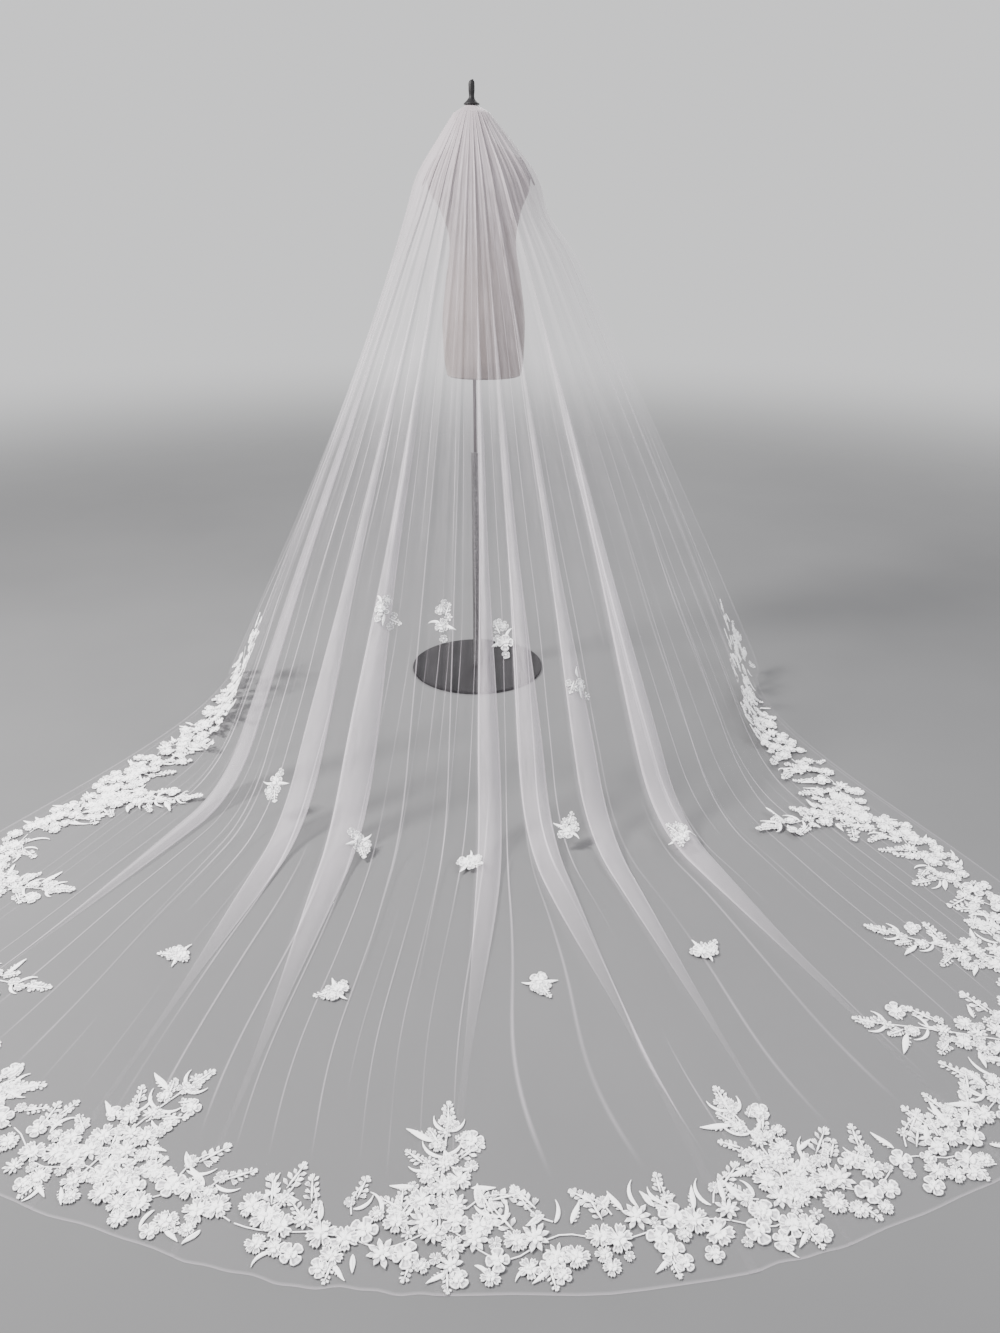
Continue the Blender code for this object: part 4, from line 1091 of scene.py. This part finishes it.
def build_lace(tulle, material):
    tree = BVHTree.FromObject(tulle, bpy.context.evaluated_depsgraph_get())
    pieces = []
    start = LACE_START
    for number, (name, end, pendants) in enumerate(LACE_RUNS):
        lace = Lace(tree, random.Random(RUN_SEED + number))
        for along, tip_x, tip_ahead, half_width in SPRAYS:
            if start < along < end:
                spray(lace, along, (tip_x, -tip_ahead), half_width)
        for along in pendants:
            pendant(lace, along)
        garland(lace, start, end)
        pieces.append(lace.piece("applique_" + name, material, "lace_" + name))
        start = end
    for number, (x, ahead, turn) in enumerate(MOTIFS, 1):
        lace = Lace(tree, random.Random(MOTIF_SEED + number))
        loose_motif(lace, x, -ahead, turn)
        pieces.append(lace.piece(f"loose_motif_{number:02d}", material, f"motif_{number:02d}"))
    return pieces


# ---------------- the form and its stand
# Profiles of the round pieces, from the top down: radius, height
CAP = (
    (0.0005, 1.6325), (0.014, 1.6325), (0.024, 1.6291), (0.036, 1.6232), (0.0465, 1.6166), (0.0478, 1.6135),
    (0.0478, 1.6),
)
FINIAL = (
    (0.0005, 1.697), (0.003, 1.6967), (0.005, 1.6955), (0.007, 1.692), (0.0083, 1.6875), (0.0083, 1.668),
    (0.0076, 1.662), (0.0072, 1.657), (0.0082, 1.652), (0.0125, 1.647), (0.017, 1.6425), (0.0205, 1.6398),
    (0.0215, 1.6385), (0.0215, 1.6372), (0.0208, 1.6365), (0.009, 1.6365), (0.009, 1.6328),
)
BASE = (
    (0.0005, 0.01), (0.2, 0.01), (0.2105, 0.0094), (0.2128, 0.0082), (0.2135, 0.006), (0.2135, 0.0008),
    (0.2128, 0.0), (0.0005, 0.0),
)
TUBE = ((0.0056, 0.7125), (0.0056, 0.714), (0.0122, 0.714), (0.013, 0.7132), (0.013, 0.0103), (0.0056, 0.0103))
ROD = ((0.0005, 0.9377), (0.005, 0.9377), (0.005, 0.0103), (0.0005, 0.0103))
# The post's top is cut at a slant: height where it begins, its slope, the radius at its top
FINIAL_SLANT_FROM, FINIAL_SLANT, FINIAL_TOP_R = 1.680, 18.0, 0.0083


def turned_piece(name, profile, material, node, slot, sides):
    points = [(r * math.cos(a), r * math.sin(a), height) for r, height in profile for a in round_angles(sides)]
    ends = [(0.0, 0.0, profile[end][1]) for end in (0, -1)]
    piece = mesh_piece(name, points, round_faces(points, len(profile), sides, *ends), material)
    tidy_normals(piece, 38)
    return dress(piece, slot, node)


# Level sections of the torso: height, half width, half depth, aside, back
TORSO = np.array((
    (0.938, 0.108, 0.086, 0.028, 0.0), (0.99, 0.116, 0.096, 0.028, 0.0), (1.08, 0.119, 0.1, 0.028, 0.0),
    (1.19, 0.108, 0.088, 0.028, 0.004), (1.3, 0.093, 0.076, 0.027, 0.008), (1.38, 0.112, 0.088, 0.022, 0.01),
    (1.44, 0.14, 0.096, 0.017, 0.008), (1.48, 0.142, 0.088, 0.016, 0.002),
    (1.508, 0.118, 0.074, 0.014, -0.004), (1.53, 0.082, 0.062, 0.01, -0.006),
    (1.552, 0.054, 0.05, 0.004, -0.004), (1.575, 0.045, 0.045, 0.0, 0.0), (1.5997, 0.044, 0.044, 0.0, 0.0),
))
TORSO_LOW, TORSO_HIGH, TORSO_SIDES = 0.938, 1.5997, 96
# The rounded lower edge: share of the size, height
TORSO_BOTTOM = ((0.86, 0.9380), (0.95, 0.9386), (0.985, 0.9402), (1.0, 0.9430))
# Sewn seams down the sides and the back: depth, half width as an angle, where they are
SEAM_DEEP, SEAM_WIDE, SEAMS = 0.0012, 0.02, (0.0, np.pi, 1.5 * np.pi)
# The cut at each arm: the torso's middle, how far out, at what height, its lean
ARM_ASIDE, ARM_OUT, ARM_Z, ARM_LEAN = 0.016, 0.132, 1.477, math.tan(math.radians(30.0))


def soft_curve(at, places, values):
    """A curve through some values with slopes that never overshoot."""
    step = np.diff(places)
    rise = np.diff(values) / step
    slope = np.zeros(len(places))
    slope[0], slope[-1] = rise[0], rise[-1]
    same = rise[:-1] * rise[1:] > 0
    slope[1:-1][same] = 2 * rise[:-1][same] * rise[1:][same] / (rise[:-1] + rise[1:])[same]
    k = np.clip(np.searchsorted(places, at, side="right") - 1, 0, len(step) - 1)
    h = step[k]
    t = (at - places[k]) / h
    return (values[k] * (1 + 2 * t) * (1 - t) ** 2 + slope[k] * h * t * (1 - t) ** 2
            + values[k + 1] * t * t * (3 - 2 * t) + slope[k + 1] * h * t * t * (t - 1))


def build_torso(material):
    angle = round_angles(TORSO_SIDES)
    from_seams = ((angle - at + np.pi) % (2 * np.pi) - np.pi for at in SEAMS)
    seam = SEAM_DEEP * sum(np.exp(-((off / SEAM_WIDE) ** 2)) for off in from_seams)
    heights = np.unique(np.concatenate([np.linspace(TORSO_LOW, TORSO_HIGH, 86), TORSO[:, 0]]))
    rows = [*TORSO_BOTTOM, *((1.0, z) for z in heights if z > 0.944)]
    points = []
    for scale, z in rows:
        width, depth, off, back = (soft_curve(z, TORSO[:, 0], TORSO[:, column]) for column in (1, 2, 3, 4))
        x = off + (width * scale - seam) * np.cos(angle)
        y = back + (depth * scale - seam) * np.sin(angle)
        limit = ARM_OUT - (z - ARM_Z) * ARM_LEAN
        x = np.clip(x, ARM_ASIDE - limit, ARM_ASIDE + limit)
        points += list(zip(x, y, np.full(TORSO_SIDES, z)))
    faces = round_faces(points, len(rows), TORSO_SIDES, (TORSO[0, 3], 0.0, TORSO_LOW), (0.0, 0.0, TORSO_HIGH))
    piece = mesh_piece("torso_cover", points, faces, material)
    piece.data.set_sharp_from_angle(angle=math.radians(50))
    dress(piece, "form_cover", "form_torso")


# The oval arm plates: half sizes, thickness, and a gap to the torso
PLATE_HALF, PLATE_THICK, PLATE_GAP, PLATE_SIDES = (0.040, 0.030), 0.004, 0.0003, 72
# Share of the half size, share of the thickness
PLATE_PROFILE = (
    (0.002, 1.0), (0.30, 1.0), (0.34, 0.86), (0.80, 0.86), (0.86, 1.0), (0.95, 0.97), (0.99, 0.80),
    (1.0, 0.5), (1.0, 0.10), (0.985, 0.0), (0.002, 0.0),
)


def build_arm_plate(name, side, material):
    tilt = math.atan(ARM_LEAN)
    outward = Vector((side * math.cos(tilt), 0.0, math.sin(tilt)))
    upward = Vector((-side * math.sin(tilt), 0.0, math.cos(tilt)))
    foot = Vector((ARM_ASIDE + side * ARM_OUT, 0.0, ARM_Z)) + outward * PLATE_GAP
    points = []
    for reach, up in PLATE_PROFILE:
        for a in round_angles(PLATE_SIDES):
            across = Vector((0.0, PLATE_HALF[1] * math.cos(a), 0.0)) + upward * PLATE_HALF[0] * math.sin(a)
            points.append(foot + across * reach + outward * PLATE_THICK * up)
    faces = grid_faces(len(PLATE_PROFILE), PLATE_SIDES, closed=True)
    faces += [tuple(first + n for n in range(PLATE_SIDES)) for first in (0, len(points) - PLATE_SIDES)]
    piece = mesh_piece("arm_plate_" + name, points, faces, material)
    tidy_normals(piece, 35)
    dress(piece, "form_plastic", "form_arm_plate_" + name)


def build_form():
    jersey = jersey_material()
    plastic = hard_material("dark_moulded_plastic")
    build_torso(jersey)
    for side, name in ((-1, "left"), (1, "right")):
        build_arm_plate(name, side, plastic)
    turned_piece("neck_cap_cover", CAP, jersey, "form_neck_cap", "form_cover", 96)
    moulding = hard_material("black_moulding")
    knob = turned_piece("neck_finial", FINIAL, moulding, "form_finial", "finial_black", 64)
    for vert in knob.data.vertices:
        if vert.co.z > FINIAL_SLANT_FROM:
            vert.co.z -= (vert.co.z - FINIAL_SLANT_FROM) * FINIAL_SLANT * (FINIAL_TOP_R - vert.co.x)
    turned_piece("base_plate", BASE, hard_material("satin_black_paint"), "stand_base", "base_black", 128)
    turned_piece("pole_tube", TUBE, hammered_grey_material(), "stand_tube", "tube_grey", 48)
    turned_piece("pole_rod", ROD, hard_material("dark_steel_rod", 0.02), "stand_rod", "rod_steel", 40)


# ---------------- camera, light and floor
# The backdrop's light up to its height in degrees, the ceiling's from its height on
BACKDROP_LIGHT, BACKDROP_UP = 0.98, 14
CEILING_LIGHT, CEILING_FROM = 0.75, 60
SKY_TINT = (0.972, 0.974, 0.985, 1.0)
FLOOR_HALF, FLOOR_Z = 14, -0.0005
# Lamps: name, place, what it points at, size, power, colour
LAMPS = (
    ("key", (-2.6, -1.2, 3.4), (0.0, -1.1, 0.1), 1.0, 560.0, (1.0, 0.985, 0.965)),
    ("fill", (2.8, -2.4, 2.6), (0.0, -0.9, 0.4), 2.2, 135.0, (0.97, 0.98, 1.0)),
    ("back", (0.8, 2.6, 3.0), (0.0, -0.8, 0.4), 2.0, 170.0, (1.0, 1.0, 1.0)),
)


def build_backdrop():
    """A bright plain backdrop all round and a dimmer ceiling."""
    m = Nodes("studio", "worlds", "Background")
    up = m.node("SeparateXYZ", {0: m.coords["Generated"]}).outputs["Z"]
    heights = (way(degrees)[1] for degrees in (BACKDROP_UP, CEILING_FROM))
    light = m.spread(up, BACKDROP_LIGHT, CEILING_LIGHT, *heights, interpolation_type="SMOOTHSTEP")
    bpy.context.scene.world = m.set(Color=SKY_TINT, Strength=light)


def build_stage():
    camera = in_scene(bpy.data.objects.new("camera", bpy.data.cameras.new("camera")))
    camera.location = (0.075, -3.03, 1.38)
    camera.rotation_euler = (math.radians(90.0 - 24.5), 0.0, 0.0)
    camera.data.sensor_width = 36.0
    camera.data.lens = 27.0
    camera.data.clip_start = 0.01
    bpy.context.scene.camera = camera
    corners = [(x * FLOOR_HALF, y * FLOOR_HALF, FLOOR_Z) for x, y in ((-1, -1), (1, -1), (1, 1), (-1, 1))]
    floor = mesh_piece("floor", corners, [(0, 1, 2, 3)], floor_material())
    build_backdrop()
    for name, at, towards, size, power, colour in LAMPS:
        lamp = bpy.data.lights.new(name, "AREA")
        lamp.shape = "DISK"
        lamp.size = size
        lamp.energy = power
        lamp.color = colour
        made = in_scene(bpy.data.objects.new(name, lamp))
        made.location = at
        made.rotation_euler = (Vector(towards) - Vector(at)).to_track_quat("-Z", "Y").to_euler()


def main():
    build_stage()
    build_form()
    tulle = build_tulle(tulle_material())
    pieces = build_lace(tulle, lace_material())


main()
